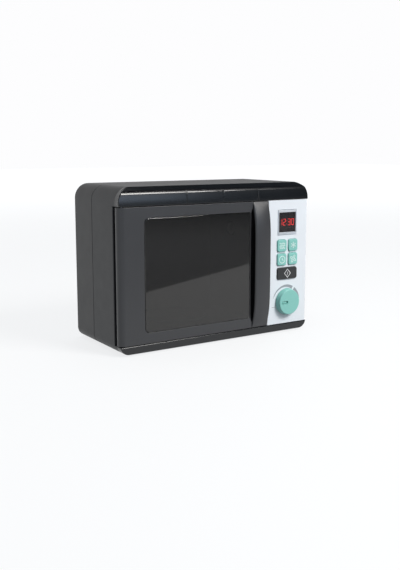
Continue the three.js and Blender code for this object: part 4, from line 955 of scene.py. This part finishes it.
def cells():
    """Two dry cells: a film-wrapped can with crimped shoulders, and its raised positive cap."""
    for node, forward in (("battery_1", 1), ("battery_2", -1)):
        low, high, place = span(node)
        radius, half = (high[2] - low[2]) / 2 / MM, (high[0] - low[0]) / 2 / MM
        crimp, shoulder = 0.3 - half, half - 1.1
        flat_end = [(0, -half), (5.5, -half), (5.7, crimp), (radius - 0.6, crimp)]
        can = [(radius, 1 - half), (radius, half - 2), (radius - 0.7, shoulder)]
        cap = [(2.9, shoulder), (2.7, half), (0, half)]
        profile = softened(flat_end + can + cap, 0.35) * (1, forward) + (0, place[0])
        piece(f"{node}_can", [turned(profile, place, 0)], node)


CROSS = lengths(reach=1.75, half=0.42)
# How far its sides and its ends slope in, as shares of an arm's half width
SIDE_STEP, END_STEP = 0.4, 0.3
# The height of a screw's head and how deep its cross is, in millimetres
HATCH_HEAD, OTHER_HEAD = (0.6, 0.4), (1.8, 1.0)
SCREW_SIDES, HEAD_RINGS = 96, 26


def cross_depth(x, z, depth):
    """How deep a cross recess is at (x, z): full where either arm covers the point, with smooth
    steps at the arms' sides and ends."""
    arm = np.minimum(np.abs(x), np.abs(z))
    inside = smooth((CROSS.half - arm) / (SIDE_STEP * CROSS.half))
    return depth * inside * smooth((CROSS.reach - np.hypot(x, z)) / (END_STEP * CROSS.half))


def screws():
    """Every screw: a shank, and a head with a cross recess in its slightly domed top, on a grid
    of radius and angle. The hatch's screw has a flat head."""
    edge, shank, tip, taper, dome = 0.5, 1.3, 0.4, 1, 0.12
    for node in sorted(n for n in frame["nodes"] if "screw" in n):
        low, high, place = span(node)
        radius, top, end = (high[0] - low[0]) / 2 / MM, high[1] / MM, low[1] / MM
        head, depth = HATCH_HEAD if node == "battery_hatch_screw" else OTHER_HEAD
        x, z = polar(np.linspace(POLE, (radius - edge) * MM, HEAD_RINGS), SCREW_SIDES)
        fall = dome * MM * (x * x + z * z) / (radius * MM) ** 2
        y = high[1] - cross_depth(x, z, depth * MM) - fall
        face = np.stack([place[0] + x, y, place[2] + z], -1)
        rim = [(radius - edge, top - dome), (radius, top - min(edge, head / 2))]
        under = [(radius, top - head), (shank, top - head)]
        point = [(shank, end + taper), (tip, end), (0, end)]
        side = turned(softened(rim + under + point, 0.2)[1:], place, 1, SCREW_SIDES)
        piece(f"{node}_finished", [np.concatenate([face, side])], node)


def speaker():
    """The speaker with its face to the grille: the magnet, the basket, the rim's roll and the
    cone with its dust cap."""
    low, high, place = span("speaker")
    radius, front, back = (high[0] - low[0]) / 2 / MM, high[1] / MM, low[1] / MM
    magnet = [(0, back), (10, back), (10, back + 5)]
    basket = [(radius - 2, front - 2), (radius, front - 2), (radius, front), (radius - 1.5, front)]
    roll = [(radius - 2.6, front - 0.9), (radius - 4, front - 0.2), (radius - 5.4, front - 0.9)]
    cone = [(6, front - 2.4), (4, front - 1.3), (0, front - 0.7)]
    profile = softened(magnet + basket + roll + cone, 0.6)
    piece("speaker_unit", [turned(profile, place, 1)], "speaker")


# The stage

CAMERA_FROM_FACE = (-0.5487, -0.8036, 0.2513)
YAW, PITCH = 32.76, 8.73  # degrees to the right and down
FOCAL_PIXELS, IMAGE_HEIGHT = 763.9, 570
CENTRE_DROP = 20  # pixels from the optical centre down to the image's middle
SENSOR = 36.0


def camera():
    """The photograph's viewpoint."""
    lens = bpy.data.cameras.new("photo_camera")
    lens.sensor_width = SENSOR
    lens.lens = FOCAL_PIXELS / IMAGE_HEIGHT * SENSOR
    lens.shift_y = -CENTRE_DROP / IMAGE_HEIGHT
    lens.clip_start, lens.clip_end = 0.01, 50
    made = placed("photo_camera", lens)
    made.location = Vector(CAMERA_FROM_FACE) + Vector((0, FACE_Y, 0))
    made.rotation_euler = (math.radians(90 - PITCH), 0, -math.radians(YAW))
    bpy.context.scene.camera = made


# Each softbox: its place, what it looks at, its width and height, its power and its colour
SOFTBOXES = {
    "key_light": ((0.6, -1.3, 1.25), (0, 0, 0.1), (0.7, 0.7), 31, "#fffcf8"),
    "fill_light": ((-1.4, -1.0, 0.9), (0, 0, 0.1), (1.0, 1.0), 0.9, "#f2f7ff"),
    "header_card": ((0.42, -1.3, 0.44), (-0.1, 0, 0.19), (0.5, 0.3), 0.8, "#cfe2ff"),
    "top_light": ((-0.1, 0.35, 1.6), (0, 0, 0.1), (1.2, 0.8), 6, "#ffffff"),
}


def lamps():
    """Soft studio light: a key above the right front, a weak fill at the left, a dim card that the
    header mirrors, and a panel overhead."""
    for name, (place, target, size, power, colour) in SOFTBOXES.items():
        light = bpy.data.lights.new(name, "AREA")
        light.shape = "RECTANGLE"
        light.size, light.size_y = size
        light.energy = power
        light.color = linear(colour)[:3]
        lamp = placed(name, light)
        lamp.location = place
        way = Vector(target) - Vector(place)
        lamp.rotation_euler = way.to_track_quat("-Z", "Y").to_euler()


def seen_straight(tree):
    """1 for camera, glossy and transmission rays, 0 for the rays that carry light."""
    either = {"operation": "MAXIMUM"}
    ray = add(tree, "ShaderNodeLightPath", {}, {}).outputs
    first = add(tree, MATH, either, {0: ray["Is Camera Ray"], 1: ray["Is Glossy Ray"]})
    return add(tree, MATH, either, {0: first, 1: ray["Is Transmission Ray"]})


# The room is pale blue on the photographer's left. Each other colour takes over where the way out
# from the toy goes from the first number to the second along its axis.
LEFT = "#d3e0ec"
ROOM = {"X": ("#34373b", 0.4, 0.66), "Y": ("#fdfdfe", 0.0, 0.45), "Z": ("#3c3e41", 0.4, 0.75)}
ROOM_LIGHT, ROOM_STRENGTH = "#eef3fa", 0.3


def backdrop():
    """A room that is pale behind the toy, as seen straight or in a mirror. Behind the photographer
    it falls off from left to right, and its ceiling is dim. The light that it sheds is even and
    weaker."""
    world = bpy.data.worlds.new("pale_room")
    bpy.context.scene.world = world
    world.use_nodes = True
    tree = world.node_tree
    tree.nodes.clear()
    place = add(tree, "ShaderNodeTexCoord", {}, {}).outputs["Object"]
    way = add(tree, "ShaderNodeSeparateXYZ", {}, {"Vector": place})
    room = {}
    for axis, (colour, start, end) in ROOM.items():
        ends = {"From Min": start, "From Max": end}
        share = add(tree, RANGE, SMOOTH | ends, {"Value": way.outputs[axis]})
        pair = {MIX_FIRST: linear(LEFT), MIX_SECOND: linear(colour)}
        mix = add(tree, MIX, COLOURS | pair, {0: share} | room)
        room = {MIX_FIRST: mix.outputs[MIX_RESULT]}
    seen = add(tree, "ShaderNodeBackground", {"Strength": 1.0}, {"Color": room[MIX_FIRST]})
    even = {"Color": linear(ROOM_LIGHT), "Strength": ROOM_STRENGTH}
    light = add(tree, "ShaderNodeBackground", even, {})
    mix = add(tree, "ShaderNodeMixShader", {}, {0: seen_straight(tree), 1: light, 2: seen})
    add(tree, "ShaderNodeOutputWorld", {}, {"Surface": mix})


# The table's pale top ends at two lines on the right in front, out of the picture, each given by
# a unit vector across it, its distance and how softly it ends. The window mirrors the first.
TABLE_EDGES = [((-0.439, -0.8985, 0), 0.335, 0.008), ((0.677, -0.736, 0), 0.29, 0.1)]
TABLE = {"near": "#e6e7e8", "far": "#f7f8f9", "end": "#6a6c70", "reach": 8.0}
FADE = {"From Min": 0.5, "From Max": 3.5}  # from the near colour to the far one


def floor():
    """A wide pale table, matt. Some of its light comes from the lamps, which give it the toy's
    shadow, and the rest from itself where it is seen, more of it far off, so that it meets the
    room."""
    material, tree, shader, place = blank("pale_table", "#6a6b6c", Roughness=0.8)
    past = []
    for across, distance, softness in TABLE_EDGES:
        way = add(tree, VECTOR_MATH, {"operation": "DOT_PRODUCT", 1: across}, {0: place})
        ends = {"From Min": distance, "From Max": distance + softness}
        past.append(add(tree, RANGE, SMOOTH | ends, {"Value": way.outputs["Value"]}))
    ended = add(tree, MATH, TIMES, {0: past[0], 1: past[1]})
    way = add(tree, VECTOR_MATH, {"operation": "LENGTH"}, {0: place})
    share = add(tree, RANGE, SMOOTH | FADE, {"Value": way.outputs["Value"]})
    pair = {MIX_FIRST: linear(TABLE["near"]), MIX_SECOND: linear(TABLE["far"])}
    top = add(tree, MIX, COLOURS | pair, {0: share}).outputs[MIX_RESULT]
    end = {MIX_SECOND: linear(TABLE["end"])}
    glow = add(tree, MIX, COLOURS | end, {0: ended, MIX_FIRST: top}).outputs[MIX_RESULT]
    feed(shader, {"Emission Color": glow, "Emission Strength": seen_straight(tree)})
    mesh = bpy.data.meshes.new("table")
    corners = np.array([(-1, -1, 0), (1, -1, 0), (1, 1, 0), (-1, 1, 0)]) * TABLE["reach"]
    mesh.from_pydata(corners.tolist(), [], [(0, 1, 2, 3)])
    mesh.materials.append(material)
    table = placed("table", mesh)
    table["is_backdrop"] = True


camera()
lamps()
backdrop()
floor()
housings()
handle()
door_window()
display()
keys()
timer_dial()
dial_scale()
turntable()
feet()
cells()
screws()
speaker()
inner_parts()

scene = bpy.context.scene
scene.view_settings.view_transform = "Standard"
boxes = {"cad": CAD_BOX, "visual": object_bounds()}
{name: [list(corner) for corner in box] for name, box in boxes.items()}
